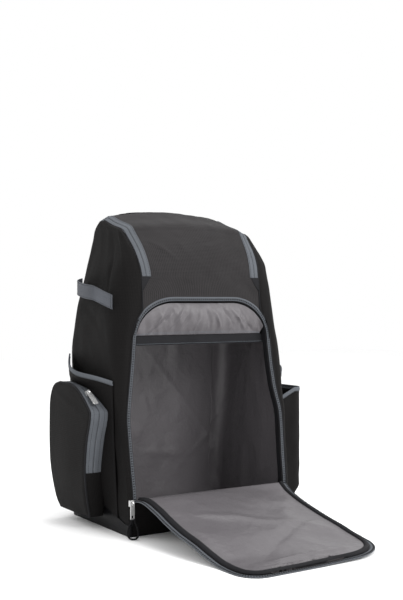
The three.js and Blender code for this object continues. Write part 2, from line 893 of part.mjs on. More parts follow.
function sideFace(up) {
  return sectionAt(up).half + sideClearance;
}

// Outer face of a sleeve, from its front seam to its back seam
function sleeveOut(side, depth, up) {
  const share = clamp((depth + sleeveFore) / (sleeveFore + sleeveAft), 0, 1);
  const deep = side === left ? leftSleeveDepth : rightSleeveDepth;
  const off = deep * read(sleeveSwell, 'rise', 'off', up / sleeveMouth);
  return sideFace(up) + bindingThickness + off * Math.sin(share * Math.PI);
}

const sleeveSteps = 9;

function sleeveGrid(side, lows, highs, levels) {
  return levels.map((level) =>
    shares(sleeveSteps).map((share) => {
      const depth = lerp(-sleeveFore, sleeveAft, share);
      const up = lerp(lows(share), highs(share), level);
      return new THREE.Vector3(side * sleeveOut(side, depth, up), depth, up);
    }),
  );
}

function mouthLine(share) {
  return sleeveMouth * read(sleeveMouthLine, 'back', 'up', share);
}

const sideways = (side) => () => new THREE.Vector3(side, 0, 0);

function sleeve(side) {
  const lows = (share) => bootTop(lerp(-sleeveFore, sleeveAft, share)) + gap;
  const highs = (share) => mouthLine(share) - bindingHeight - gap;
  const levels = [0, 0.12, 0.26, 0.45, 0.7, 0.86, 0.93, 1];
  return skin(sleeveGrid(side, lows, highs, levels), sleeveWall, sideways(side));
}

function sleeveBinding(side) {
  const lows = (share) => mouthLine(share) - bindingHeight;
  return skin(sleeveGrid(side, lows, mouthLine, [0, 1]), bindingThickness, sideways(side));
}

// Straps that hold a bat above its sleeve. Each row is a place on the strap's middle line: out is a
// share of strapOut, depth of sleeveFore and up of bagHeight.
const strapRoutes = {
  [left]: [
    { out: 0.0, depth: -0.8, up: 0.6956 },
    { out: 0.47, depth: -0.8, up: 0.708 },
    { out: 0.97, depth: -0.767, up: 0.7239 },
    { out: 1.0, depth: -0.5, up: 0.7292 },
    { out: 0.94, depth: -0.244, up: 0.7345 },
    { out: 0.79, depth: 0.02, up: 0.7398 },
    { out: 0.5, depth: 0.267, up: 0.7451 },
    { out: 0.053, depth: 0.489, up: 0.7504 },
  ],
  [right]: [
    { out: 0.0, depth: -0.6, up: 0.6956 },
    { out: 0.32, depth: -0.433, up: 0.7009 },
    { out: 0.71, depth: -0.189, up: 0.708 },
    { out: 0.87, depth: 0.0, up: 0.7168 },
    { out: 0.76, depth: 0.2, up: 0.7274 },
    { out: 0.45, depth: 0.356, up: 0.7381 },
    { out: 0.053, depth: 0.489, up: 0.7469 },
  ],
};

function sideSurface(depth, up) {
  const { fore, aft, half, nose, heel } = sectionAt(up);
  const ahead = clamp(fore + nose - depth, 0, nose);
  const behind = clamp(depth - (aft - heel), 0, heel);
  const cut = nose - Math.sqrt(nose * nose - ahead * ahead) + heel - Math.sqrt(heel * heel - behind * behind);
  return half - cut;
}

function batStrap(side) {
  const clear = strapThickness / 2 + gap;
  const low = (up) => Math.max(sectionAt(up - strapWidth / 2).half - sectionAt(up).half, 0);
  const points = strapRoutes[side].map((row) => {
    const [depth, up] = [row.depth * sleeveFore, row.up * bagHeight];
    const across = sideSurface(depth, up) + low(up) + clear + row.out * strapOut;
    return new THREE.Vector3(side * across, depth, up);
  });
  const upward = () => new THREE.Vector3(0, 0, 1);
  return ribbon(smoothPath(points, 20), upward, strapWidth, strapThickness, flatProfile);
}

// Zipped pocket on the left

const pocketRise = pocketTop - pocketFoot;

function pocketEdge(up, edge) {
  const share = read(pocketEdges, 'up', edge, (up - pocketFoot) / pocketRise);
  return edge === 'fore' ? -pocketFore * share : pocketAft * share;
}

function pocketOutAt(up) {
  return pocketOut + pocketSwell * read(pocketEdges, 'up', 'swell', (up - pocketFoot) / pocketRise);
}

const pocketShares = [0, 0.05, 0.1, 0.24, 0.345, 0.47, 0.6, 0.8, 0.86, 0.93, 0.975, 1];
const pocketLevels = pocketShares.map((share) => lerp(pocketFoot, pocketTop, share));

function pocketFace() {
  const grid = pocketLevels.map((up) => {
    const fore = pocketEdge(up, 'fore');
    const aft = pocketEdge(up, 'aft');
    return shares(6).map((share) => {
      const swell = pocketCrown * Math.sin(share * Math.PI) * Math.sin((up / pocketTop) * Math.PI);
      return new THREE.Vector3(left * (pocketOutAt(up) + swell), lerp(fore, aft, share), up);
    });
  });
  return skin(grid, pocketWall, sideways(left));
}

// The pocket's rim seen from the side, from the front end of its zip over the top to the back, and
// the rest of it, from there round the foot to the front end of the zip
const frontRim = pocketLevels.map((up) => new THREE.Vector2(pocketEdge(up, 'fore'), up));
const backRim = pocketLevels.map((up) => new THREE.Vector2(pocketEdge(up, 'aft'), up));
const zipStart = pocketLevels.findIndex((up) => up > pocketZipFoot - 2);
const zipEnd = pocketShares.indexOf(0.86);
const zipRim = [...frontRim.slice(zipStart), ...backRim.slice(zipEnd).reverse()];
const gussetRim = [
  ...backRim.slice(0, zipEnd + 1).reverse(),
  ...shares(3).slice(1, 3).map((share) => frontRim[0].clone().lerp(backRim[0], 1 - share)),
  ...frontRim.slice(0, zipStart + 1),
];

function pocketInward(rim, place) {
  const before = rim[Math.max(place - 1, 0)];
  const after = rim[Math.min(place + 1, rim.length - 1)];
  const along = after.clone().sub(before).normalize();
  return new THREE.Vector3(0, along.y, -along.x);
}

function pocketStrip(rim, thickness, trim) {
  const ends = rim.map((point) => point.clone());
  const last = ends.length - 1;
  ends[0].lerp(ends[1], trim / ends[0].distanceTo(ends[1]));
  ends[last].lerp(ends[last - 1], trim / ends[last].distanceTo(ends[last - 1]));
  return loft(
    ends.map((point, place) => {
      const inward = pocketInward(rim, place);
      const outer = pocketOutAt(point.y) - pocketWall - gap;
      const inner = Math.max(sleeveOut(left, point.x, point.y), sideFace(point.y)) + pocketWall;
      return [
        [outer, 0],
        [outer, thickness],
        [inner, thickness],
        [inner, 0],
      ].map(([across, depth]) =>
        new THREE.Vector3(left * across, point.x, point.y).addScaledVector(inward, depth),
      );
    }),
  );
}

// Bottle pocket on the right

function bottleMouth(across) {
  const inner = sleeveOut(right, -bottleFore, bottleMouthInner);
  const share = clamp((across - inner) / (bottleOut - bottleCorner - inner), 0, 1);
  return lerp(bottleMouthInner, bottleMouthOuter, share);
}

// The wall of the bottle pocket seen from above, from its front end round to its back end
function bottleLine(up) {
  const tuck = bottleCorner * 0.6 * (1 - smoothstep(up, bottleFoot, bottleFoot + bottleCorner));
  const out = bottleOut - tuck;
  const inner = (depth) => sleeveOut(right, depth - Math.sign(depth) * bindingThickness, up) + 3 * gap;
  const corner = out - bottleCorner;
  const arc = (centre, from, to) =>
    shares(3).map((share) => {
      const turn = degToRad(lerp(from, to, share));
      return new THREE.Vector2(corner + bottleCorner * Math.cos(turn), centre + bottleCorner * Math.sin(turn));
    });
  const front = new THREE.Vector2(inner(-bottleFore), -bottleFore);
  const back = new THREE.Vector2(inner(bottleAft), bottleAft);
  return [
    front,
    ...arc(bottleCorner - bottleFore, -90, 0),
    ...arc(bottleAft - bottleCorner, 0, 90),
    back,
  ];
}

function bottleInward(line, place) {
  const before = line[Math.max(place - 1, 0)];
  const after = line[Math.min(place + 1, line.length - 1)];
  const along = after.clone().sub(before).normalize();
  return new THREE.Vector3(-along.y, along.x, 0);
}

function bottleWrap(levels, thickness) {
  const mouths = bottleLine(bottleMouthOuter).map(({ x }) => bottleMouth(x));
  const outer = [];
  const inward = new Map();
  levels.forEach((levelAt) => {
    outer.push(
      mouths.map((mouth, place) => {
        const up = levelAt(mouth);
        const line = bottleLine(up);
        const point = new THREE.Vector3(line[place].x, line[place].y, up);
        inward.set(point, bottleInward(line, place));
        return point;
      }),
    );
  });
  return skin(outer, thickness, (point) => inward.get(point).clone().negate());
}

function bottlePocket() {
  const levels = [0, 0.06, 0.12, 0.4, 0.7, 1].map(
    (share) => (mouth) => lerp(bottleFoot, mouth - bindingHeight - gap, share),
  );
  return bottleWrap(levels, bottleWall);
}

function bottleBinding() {
  return bottleWrap([(mouth) => mouth - bindingHeight, (mouth) => mouth], bindingThickness);
}

function bottleFloor() {
  const line = bottleLine(bottleFoot);
  const inset = bottleWall + 2 * gap;
  const outline = line.map((point, place) => {
    const inward = bottleInward(line, place);
    return new THREE.Vector2(point.x + inward.x * inset, point.y + inward.y * inset);
  });
  const front = outline[0];
  const back = outline.at(-1);
  const inner = shares(4).slice(1, 4).map((share) => {
    const depth = lerp(back.y, front.y, share);
    return new THREE.Vector2(sleeveOut(right, depth, bottleFoot + bottleWall) + 3 * gap, depth);
  });
  return plateOf([...outline, ...inner], bottleWall);
}

// Sliders and pulls

function toSolid(geometry) {
  const bare = geometry.clone();
  bare.deleteAttribute('normal');
  bare.deleteAttribute('uv');
  const merged = mergeVertices(bare);
  const vertProperties = new Float32Array(merged.attributes.position.array);
  const triVerts = new Uint32Array(merged.index.array);
  return new wasm.Manifold(new wasm.Mesh({ numProp: 3, vertProperties, triVerts }));
}

function fromSolid(solid) {
  const { vertProperties, triVerts } = solid.getMesh();
  const geometry = new THREE.BufferGeometry();
  geometry.setAttribute('position', new THREE.BufferAttribute(vertProperties, 3));
  geometry.setIndex(new THREE.BufferAttribute(triVerts, 1));
  geometry.computeVertexNormals();
  return geometry;
}

// A slider lies on its tape: x across the tape, y up along it, z off it. Its bail is a half ring.
function sliderGeometry() {
  const body = new THREE.BoxGeometry(sliderWidth, sliderLength, sliderHeight);
  body.translate(0, 0, sliderHeight / 2);
  const foot = sliderHeight / 2;
  const rise = sliderHeight + bailRise;
  const shape = new THREE.Shape();
  shape.moveTo(bailOuter, foot);
  shape.lineTo(bailOuter, rise);
  shape.absarc(0, rise, bailOuter, 0, Math.PI, false);
  shape.lineTo(-bailOuter, foot);
  shape.lineTo(-bailInner, foot);
  shape.lineTo(-bailInner, rise);
  shape.absarc(0, rise, bailInner, Math.PI, 0, true);
  shape.lineTo(bailInner, foot);
  const bail = new THREE.ExtrudeGeometry(shape, { depth: bailWidth, bevelEnabled: false, curveSegments: 8 });
  bail.translate(0, 0, -bailWidth / 2);
  bail.rotateX(Math.PI / 2);
  bail.rotateZ(Math.PI / 2);
  return fromSolid(toSolid(body).add(toSolid(bail)));
}

const pivotHeight = sliderHeight + pivotRise;

// A pull hangs from its cross bar, which is at its origin: x across, y down the pull, z through it
function pullGeometry(width, reach, thickness, holeReach) {
  const bar = thickness / 2;
  const half = width / 2;
  const round = Math.min(half, 2.4);
  const shape = new THREE.Shape();
  shape.moveTo(-half, -bar);
  shape.lineTo(half, -bar);
  shape.lineTo(half, reach - round);
  shape.absarc(half - round, reach - round, round, 0, Math.PI / 2, false);
  shape.lineTo(-half + round, reach);
  shape.absarc(-half + round, reach - round, round, Math.PI / 2, Math.PI, false);
  const eye = new THREE.Path();
  eye.moveTo(-tabEyeWidth / 2, bar);
  eye.lineTo(-tabEyeWidth / 2, tabEyeReach);
  eye.lineTo(tabEyeWidth / 2, tabEyeReach);
  eye.lineTo(tabEyeWidth / 2, bar);
  shape.holes.push(eye);
  if (holeReach > 0) {
    const hole = new THREE.Path();
    const middle = reach - holeReach;
    hole.absellipse(0, middle, half - 1.4, holeReach / 2, 0, 2 * Math.PI, true);
    shape.holes.push(hole);
  }
  const plate = new THREE.ExtrudeGeometry(shape, { depth: thickness, bevelEnabled: false, curveSegments: 5 });
  plate.translate(0, 0, -thickness / 2);
  return plate;
}

// The pocket's slider, part way up the sloping shoulder of its zip
const pocketSliderRow = pocketShares.indexOf(0.93);
const sliderSpot = frontRim[pocketSliderRow].clone().lerp(frontRim[pocketSliderRow - 1], 0.05);
const slope = frontRim[pocketSliderRow].clone().sub(frontRim[pocketSliderRow - 1]);
const sliderTilt = Math.atan2(slope.y, slope.x);

function pocketSlider() {
  const group = new THREE.Group();
  const middle = (sleeveOut(left, sliderSpot.x, sliderSpot.y) + pocketOut - pocketWall) / 2;
  group.position.set(left * middle, sliderSpot.x, sliderSpot.y);
  group.rotation.x = sliderTilt;
  const slider = makePiece('pocket_zip_slider', 'metal', sliderGeometry());
  slider.position.z = gap;
  const tab = makePiece('pocket_pull_tab', 'metal', pullGeometry(tabWidth, tabReach, tabThickness, 0));
  tab.position.z = gap + pivotHeight;
  tab.rotation.z = Math.PI;
  tab.rotation.x = degToRad(-4);
  group.add(slider, tab);
  return group;
}

// The main slider stands at the left foot of the opening, and its pull hangs straight down
function mainSlider() {
  const group = new THREE.Group();
  const half = archHalf(lipHeight) + sliderWidth / 2 + gap;
  const stand = sectionAt(lipHeight).fore - gap;
  group.position.set(left * half, stand, lipHeight + gap);
  group.rotation.x = Math.PI / 2;
  const slider = makePiece('main_zip_slider', 'metal', sliderGeometry());
  const pull = makePiece('main_pull', 'metal', pullGeometry(mainPullWidth, mainPullLength, tabThickness, 5));
  pull.position.z = pivotHeight;
  pull.rotation.z = Math.PI;
  group.add(slider, pull);
  return group;
}

// The cord loop on the main pull. It drops through the pull's lower hole to the floor.
const cordRoute = [
  [-164.1, -137.7, 33.2],
  [-163.5, -139.0, 30],
  [-162.3, -140.7, 25],
  [-161.0, -142.8, 19.5],
  [-160.3, -144.6, 14],
  [-160.6, -146.1, 9],
  [-162.5, -147.0, 5],
  [-165.9, -146.7, 2.6],
  [-170.2, -144.8, 2.0],
  [-173.9, -141.7, 2.9],
  [-175.7, -138.6, 6],
  [-175.6, -136.5, 10.5],
  [-174.2, -135.6, 16],
  [-171.9, -135.7, 21.5],
  [-169.3, -136.2, 27],
  [-166.8, -136.6, 32],
];

function pullCord() {
  const path = new THREE.CatmullRomCurve3(cordRoute.map((point) => new THREE.Vector3(...point)));
  const sides = 8;
  const section = Array.from({ length: sides }, (_, side) => {
    const turn = (side / sides) * 2 * Math.PI;
    return new THREE.Vector2(Math.cos(turn), Math.sin(turn)).multiplyScalar(cordDiameter / 2);
  });
  return new THREE.ExtrudeGeometry(new THREE.Shape(section), { steps: 30, extrudePath: path });
}

// Back: haul handle, shoulder straps and their webbing

function haulHandle() {
  const foot = zipRearFoot - handleWidth;
  const stand = backFace(0, foot) + handleThickness / 2 + gap;
  const top = bagHeight - 1.2 * handleWidth;
  const points = [
    { share: -1, up: foot },
    { share: -0.97, up: lerp(foot, top, 0.45) },
    { share: -0.72, up: lerp(foot, top, 0.86) },
    { share: -0.3, up: top },
    { share: 0.3, up: top },
    { share: 0.72, up: lerp(foot, top, 0.86) },
    { share: 0.97, up: lerp(foot, top, 0.45) },
    { share: 1, up: foot },
  ].map(({ share, up }) => new THREE.Vector3(share * handleHalf, stand, up));
  const path = smoothPath(points, 16);
  const acrossAt = (_, place) => tangentAt(path, place).cross(new THREE.Vector3(0, 1, 0));
  return ribbon(path, acrossAt, handleWidth, handleThickness, flatProfile);
}

// A shoulder strap hangs behind the bag: across is a share of bagHalf, off is how far it stands off
const shoulderRoute = [
  { up: 0.855, across: 0.29, off: 0 },
  { up: 0.82, across: 0.31, off: 6 },
  { up: 0.76, across: 0.345, off: 20 },
  { up: 0.68, across: 0.385, off: 28 },
  { up: 0.58, across: 0.43, off: 26 },
  { up: 0.48, across: 0.48, off: 17 },
  { up: 0.4, across: 0.525, off: 8 },
];
const webbingRoute = [
  { up: 0.375, across: 0.545, off: 7 },
  { up: 0.28, across: 0.6, off: 6 },
  { up: 0.17, across: 0.66, off: 4 },
  { up: 0.08, across: 0.71, off: 0 },
];

function backPath(route, side, thickness, steps) {
  const points = route.map(({ up, across, off }) => {
    const place = across * bagHalf;
    const rise = up * bagHeight;
    const depth = backFace(place, rise) + thickness / 2 + 2 * gap + off;
    return new THREE.Vector3(side * place, depth, rise);
  });
  return smoothPath(points, steps);
}

const sidewaysAcross = () => new THREE.Vector3(1, 0, 0);

function shoulderStrap(side) {
  const path = backPath(shoulderRoute, side, shoulderThickness, 12);
  return ribbon(path, sidewaysAcross, shoulderWidth, shoulderThickness, paddedProfile);
}

function strapWebbing(side) {
  const path = backPath(webbingRoute, side, webbingThickness, 6);
  return ribbon(path, sidewaysAcross, webbingWidth, webbingThickness, flatProfile);
}

function strapAdjuster(side) {
  const above = backPath(shoulderRoute, side, shoulderThickness, 12);
  const below = backPath(webbingRoute, side, webbingThickness, 6);
  const last = above.length - 1;
  const down = tangentAt(above, last);
  const away = tangentAt(below, 0);
  const path = [
    above[last].clone().addScaledVector(down, gap),
    above[last].clone().addScaledVector(down, 3),
    below[0].clone().addScaledVector(away, -3),
    below[0].clone().addScaledVector(away, -gap),
  ];
  return ribbon(path, sidewaysAcross, adjusterWidth, adjusterThickness, flatProfile);
}

// The lid's slider, at the back beside the haul handle, with its pull hanging down
function lidSlider() {
  const [upper, lower] = [lidEnd - 1, lidEnd + 1].map((place) => crossRow(place, gap, lidColumns)[8]);
  const along = lower.clone().sub(upper);
  const group = new THREE.Group();
  group.position.copy(upper).lerp(lower, 0.4);
  group.rotation.x = Math.atan2(along.z, along.y);
  const body = new THREE.BoxGeometry(sliderWidth, sliderLength, sliderHeight);
  body.translate(0, 0, sliderHeight / 2 + 2 * gap);
  const pull = new THREE.BoxGeometry(tabWidth, tabReach, tabThickness);
  pull.translate(0, tabReach / 2, sliderHeight + tabThickness / 2);
  group.add(makePiece('lid_zip_slider', 'metal', fromSolid(toSolid(body).add(toSolid(pull)))));
  return group;
}

// Assembly

const bag = new THREE.Group();

const body = new THREE.Group();
body.add(
  makePiece('side_panel_left', 'sideCloth', sidePanel(left)),
  makePiece('side_panel_right', 'sideCloth', sidePanel(right)),
  makePiece('lid_panel', 'ripstop', lidPanel()),
  makePiece('back_panel', 'airMesh', backPanel()),
  makePiece('front_lower_panel', 'sideCloth', frontLowerPanel()),
  makePiece('boot_left', 'coatedCloth', boot(left)),
  makePiece('boot_right', 'coatedCloth', boot(right)),
  makePiece('base_panel', 'coatedCloth', basePanel()),
);

const lidZip = new THREE.Group();
lidZip.add(
  makePiece('lid_zip_tape_left', 'zipTape', lidSideTape(left)),
  makePiece('lid_zip_tape_right', 'zipTape', lidSideTape(right)),
  makePiece('lid_zip_tape_back', 'zipTape', lidBackTape()),
  makePiece('zip_garage_left', 'darkBinding', zipGarage(left)),
  makePiece('zip_garage_right', 'darkBinding', zipGarage(right)),
  lidSlider(),
);

const opening = new THREE.Group();
const shelf = makePiece('shelf_panel', 'darkBinding', compartmentPlate(shelfHeight, shelfThickness, bandDepth + 3));
shelf.position.z = shelfHeight;
const floor = makePiece('compartment_floor', 'lining', compartmentPlate(basePlate * 2, liningThickness, wall + 4));
floor.position.z = basePlate + gap;
opening.add(
  makePiece('opening_zip_tape', 'zipTape', openingZipTape()),
  makePiece('opening_facing', 'darkBinding', openingFacing()),
  makePiece('compartment_lining', 'lining', compartmentLining()),
  makePiece('shelf_band', 'darkBinding', shelfBand()),
  makePiece('lining_curtain', 'lining', liningCurtain()),
  shelf,
  floor,
);

const flap = new THREE.Group();
flap.add(
  makePiece('flap_panel', 'ripstop', flapSheet(flapBindingInset, 0, flapWall)),
  makePiece('flap_lining', 'lining', flapSheet(flapLiningInset, flapCover, flapLiningThickness)),
  makePiece('flap_binding', 'darkBinding', flapBindingRing()),
  makePiece('flap_zip_tape', 'zipTape', flapTapeRing()),
);

const leftSide = new THREE.Group();
leftSide.add(
  makePiece('sleeve_left', 'sideCloth', sleeve(left)),
  makePiece('sleeve_left_binding', 'zipTape', sleeveBinding(left)),
  makePiece('bat_strap_left', 'webbing', batStrap(left)),
  makePiece('pocket_face', 'ripstop', pocketFace()),
  makePiece('pocket_zip_tape', 'zipTape', pocketStrip(zipRim, pocketWall, gap)),
  makePiece('pocket_gusset', 'sideCloth', pocketStrip(gussetRim, pocketWall, gap)),
  pocketSlider(),
);

const rightSide = new THREE.Group();
const bottleBase = makePiece('bottle_pocket_floor', 'sideCloth', bottleFloor());
bottleBase.position.z = bottleFoot;
rightSide.add(
  makePiece('sleeve_right', 'sideCloth', sleeve(right)),
  makePiece('sleeve_right_binding', 'zipTape', sleeveBinding(right)),
  makePiece('bat_strap_right', 'webbing', batStrap(right)),
  makePiece('bottle_pocket', 'sideCloth', bottlePocket()),
  makePiece('bottle_pocket_binding', 'zipTape', bottleBinding()),
  bottleBase,
);

const harness = new THREE.Group();
harness.add(
  makePiece('haul_handle', 'blackWebbing', haulHandle()),
  makePiece('shoulder_strap_left', 'airMesh', shoulderStrap(left)),
  makePiece('shoulder_strap_right', 'airMesh', shoulderStrap(right)),
  makePiece('strap_webbing_left', 'blackWebbing', strapWebbing(left)),
  makePiece('strap_webbing_right', 'blackWebbing', strapWebbing(right)),
  makePiece('strap_adjuster_left', 'nylon', strapAdjuster(left)),
  makePiece('strap_adjuster_right', 'nylon', strapAdjuster(right)),
);

bag.add(body, lidZip, opening, flap, leftSide, rightSide, harness);
bag.add(mainSlider(), makePiece('main_pull_cord', 'cord', pullCord()));

export default bag;
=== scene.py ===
"""A backpack for bats and ball gear: cloth, zips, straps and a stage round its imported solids."""

import functools
import math

import bpy
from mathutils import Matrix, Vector, noise


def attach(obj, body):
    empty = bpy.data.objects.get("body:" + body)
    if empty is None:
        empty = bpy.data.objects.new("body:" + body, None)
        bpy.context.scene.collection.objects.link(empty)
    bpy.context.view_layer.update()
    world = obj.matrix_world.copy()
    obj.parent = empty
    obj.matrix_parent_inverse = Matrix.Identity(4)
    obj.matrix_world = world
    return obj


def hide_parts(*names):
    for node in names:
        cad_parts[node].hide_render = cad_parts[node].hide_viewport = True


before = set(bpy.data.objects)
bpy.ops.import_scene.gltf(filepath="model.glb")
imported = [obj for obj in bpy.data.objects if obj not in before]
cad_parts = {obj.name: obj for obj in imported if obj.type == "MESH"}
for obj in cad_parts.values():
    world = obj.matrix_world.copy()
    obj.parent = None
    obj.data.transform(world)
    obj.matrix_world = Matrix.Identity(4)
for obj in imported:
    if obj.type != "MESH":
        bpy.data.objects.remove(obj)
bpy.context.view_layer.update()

bl_info = {
    "name": "Bat Backpack",
    "version": (1, 0, 0),
    "blender": (4, 5, 0),
    "location": "3D View > Sidebar > Backpack",
    "description": "Builds the cloth, zips, straps and stage of a backpack for bats",
    "category": "Object",
}

MM = 0.001
LEFT = -1
RIGHT = 1

# Body, in millimetres, as the solids have it
BAG_HEIGHT = 565
BAG_HALF = 178
BAG_FORE = 128
BAG_AFT = 110
NOSE_RADIUS = 42
HEEL_RADIUS = 30
WALL = 2.4
BACK_PADDING = 7
BACK_SWELL = 5
FRONT_SWELL = 4
LIP_SWELL = 3
LIP_TOP = 57.7
BOOT_NOSE_HEIGHT = 20
BOOT_HEEL_HEIGHT = 41

# Front opening and flap
LIP_HEIGHT = 0.1027 * BAG_HEIGHT
OPENING_TOP = 0.7115 * BAG_HEIGHT
OPENING_HALF = 164
ARCH_SPRING = 0.5805 * BAG_HEIGHT
ARCH_FLAT = 63
FLAP_LENGTH = 0.936 * (OPENING_TOP - LIP_HEIGHT)
FLAP_FLAT = {LEFT: 112, RIGHT: 54}
FLAP_SPRING = {LEFT: 0.87, RIGHT: 0.66}
OPENING_TAPE = 6
FACING_DEPTH = 12
FLAP_TAPE = 9
FLAP_BINDING = 9
FLAP_COVER = 3.4

# Inside
SHELF_HEIGHT = 0.5628 * BAG_HEIGHT
BAND_HEIGHT = 17
CURTAIN_HALF = 132
CURTAIN_SWELL = 10
LINING_INSET = 6
LINING_BACK_INSET = 9.5

# Lid zip
SEAM_TOP = 0.9575 * BAG_HEIGHT
ZIP_FOOT = 0.7752 * BAG_HEIGHT
ZIP_REAR_FOOT = ZIP_FOOT + 0.8 * (SEAM_TOP - ZIP_FOOT)
GARAGE_FOOT = ZIP_FOOT - 26
LID_TAPE = 18
LID_TAPE_LEAN = math.radians(30)
CROWN_SWELL = 10
REAR_SWELL = 1

# Sleeves and side pockets
SLEEVE_FORE = 90
SLEEVE_AFT = 75
SLEEVE_DEPTH = {LEFT: 30, RIGHT: 46}
SLEEVE_MOUTH = 0.531 * BAG_HEIGHT
BINDING_HEIGHT = 9
STRAP_WIDTH = 25
STRAP_OUT = 38
POCKET_OUT = 217
POCKET_FORE = 84
POCKET_AFT = 84
POCKET_TOP = 0.4442 * BAG_HEIGHT
POCKET_FOOT = 22
POCKET_SWELL = 6
POCKET_CROWN = 3
POCKET_ZIP_FOOT = 0.1788 * BAG_HEIGHT
BOTTLE_OUT = 252
BOTTLE_FORE = 70
BOTTLE_AFT = 68
BOTTLE_CORNER = 24
BOTTLE_FOOT = 15
BOTTLE_MOUTH_INNER = 0.3699 * BAG_HEIGHT
BOTTLE_MOUTH_OUTER = BOTTLE_MOUTH_INNER + 20

# Back
HANDLE_WIDTH = 22
HANDLE_HALF = 52
SHOULDER_WIDTH = 66
SHOULDER_THICKNESS = 10

# Camera: metres, degrees and millimetres
CAMERA_PLACE = (-0.9597, -1.568, 0.397)
CAMERA_TURN = -33
CAMERA_LENS = 59.04

# Body sections from the floor up, as shares of the sizes above
SECTION_COLUMNS = ("up", "fore", "aft", "half", "nose", "heel", "seam", "rear")
SECTIONS = (
    (0.0, 0.977, 0.964, 0.93, 0.1, 0.73, 0.697, 0.775),
    (0.103, 1.0, 0.98, 0.944, 0.143, 0.87, 0.697, 0.787),
    (0.212, 0.945, 0.96, 0.963, 0.17, 0.93, 0.697, 0.793),
    (0.327, 0.883, 0.92, 0.978, 0.21, 1.0, 0.697, 0.8),
    (0.425, 0.81, 0.88, 0.989, 0.36, 1.0, 0.697, 0.8),
    (0.538, 0.78, 0.84, 1.0, 0.6, 1.0, 0.697, 0.8),
    (0.664, 0.758, 0.77, 0.969, 0.95, 1.0, 0.697, 0.78),
    (0.775, 0.719, 0.68, 0.91, 0.88, 0.93, 0.697, 0.737),
    (0.819, 0.664, 0.655, 0.876, 0.64, 0.87, 0.708, 0.72),
    (0.858, 0.5625, 0.635, 0.834, 0.43, 0.73, 0.719, 0.705),
    (0.894, 0.42, 0.61, 0.803, 0.26, 0.56, 0.73, 0.703),
    (0.922, 0.29, 0.58, 0.784, 0.15, 0.33, 0.739, 0.722),
    (0.938, 0.03, 0.53, 0.772, 0.095, 0.2, 0.743, 0.735),
    (0.9575, -0.22, 0.42, 0.756, 0.035, 0.07, 0.744, 0.739),
)
# Half width of the opening, as a share of OPENING_HALF
OPENING_COLUMNS = ("rise", "half")
OPENING_SIDES = (
    (0.0, 0.982),
    (0.13, 0.988),
    (0.37, 1.0),
    (0.53, 0.951),
    (0.66, 0.915),
    (0.785, 0.89),
)
# The flap from the side, as shares of FLAP_LENGTH and LIP_HEIGHT; its right edge sinks sooner
FLAP_COLUMNS = ("along", "ahead", "up", "sag")
FLAP_PROFILE = (
    (0.0, 0.0, 1.0, 1.0),
    (0.065, 0.065, 1.05, 0.8),
    (0.204, 0.2, 0.888, 0.58),
    (0.295, 0.287, 0.733, 0.475),
    (0.417, 0.404, 0.552, 0.345),
    (0.558, 0.542, 0.362, 0.215),
    (0.666, 0.6435, 0.172, 0.1),
    (0.76, 0.735, 0.034, 0.05),
    (0.851, 0.825, 0.0, 0.06),
    (1.0, 0.974, 0.0, 0.09),
)
# Half width of the flap on its left and right, as shares of OPENING_HALF
FLAP_SIDE_COLUMNS = ("along", "left", "right")
FLAP_SIDES = (
    (0.0, 0.982, 0.982),
    (0.204, 0.974, 0.95),
    (0.417, 0.98, 0.93),
    (0.558, 0.962, 0.92),
    (0.666, 0.94, 0.912),
    (0.76, 0.92, 0.9),
    (0.87, 0.912, 0.9),
)
# A sleeve's stand-off and its mouth line
SWELL_COLUMNS = ("rise", "off")
SLEEVE_SWELL = ((0.0, 0.0), (0.13, 0.03), (0.33, 0.42), (0.8, 0.5), (0.88, 0.95), (1.0, 1.0))
MOUTH_COLUMNS = ("back", "up")
SLEEVE_MOUTH_LINE = ((0.0, 0.867), (0.2, 0.893), (0.5, 0.915), (0.8, 0.955), (1.0, 1.0))
# The zipped pocket's edges and swell
POCKET_COLUMNS = ("up", "fore", "aft", "swell")
POCKET_EDGES = (
    (0.0, 0.46, 0.9, -3.0),
    (0.05, 0.5, 0.98, -2.5),
    (0.1, 0.52, 1.0, -2.0),
    (0.24, 0.58, 1.0, -0.9),
    (0.4, 0.66, 0.99, -0.1),
    (0.6, 0.79, 0.97, 0.2),
    (0.8, 0.93, 0.97, 0.1),
    (0.86, 0.77, 0.95, 0.05),
    (0.93, 0.5, 0.87, 0.0),
    (0.975, 0.26, 0.74, 0.0),
    (1.0, -0.05, 0.5, 0.0),
)
# Middle lines of the straps that hold a bat: shares of STRAP_OUT, SLEEVE_FORE and BAG_HEIGHT
STRAP_ROUTES = {
    LEFT: (
        (0.0, -0.8, 0.6956),
        (0.47, -0.8, 0.708),
        (0.97, -0.767, 0.7239),
        (1.0, -0.5, 0.7292),
        (0.94, -0.244, 0.7345),
        (0.79, 0.02, 0.7398),
        (0.5, 0.267, 0.7451),
        (0.053, 0.489, 0.7504),
    ),
    RIGHT: (
        (0.0, -0.6, 0.6956),
        (0.32, -0.433, 0.7009),
        (0.71, -0.189, 0.708),
        (0.87, 0.0, 0.7168),
        (0.76, 0.2, 0.7274),
        (0.45, 0.356, 0.7381),
        (0.053, 0.489, 0.7469),
    ),
}
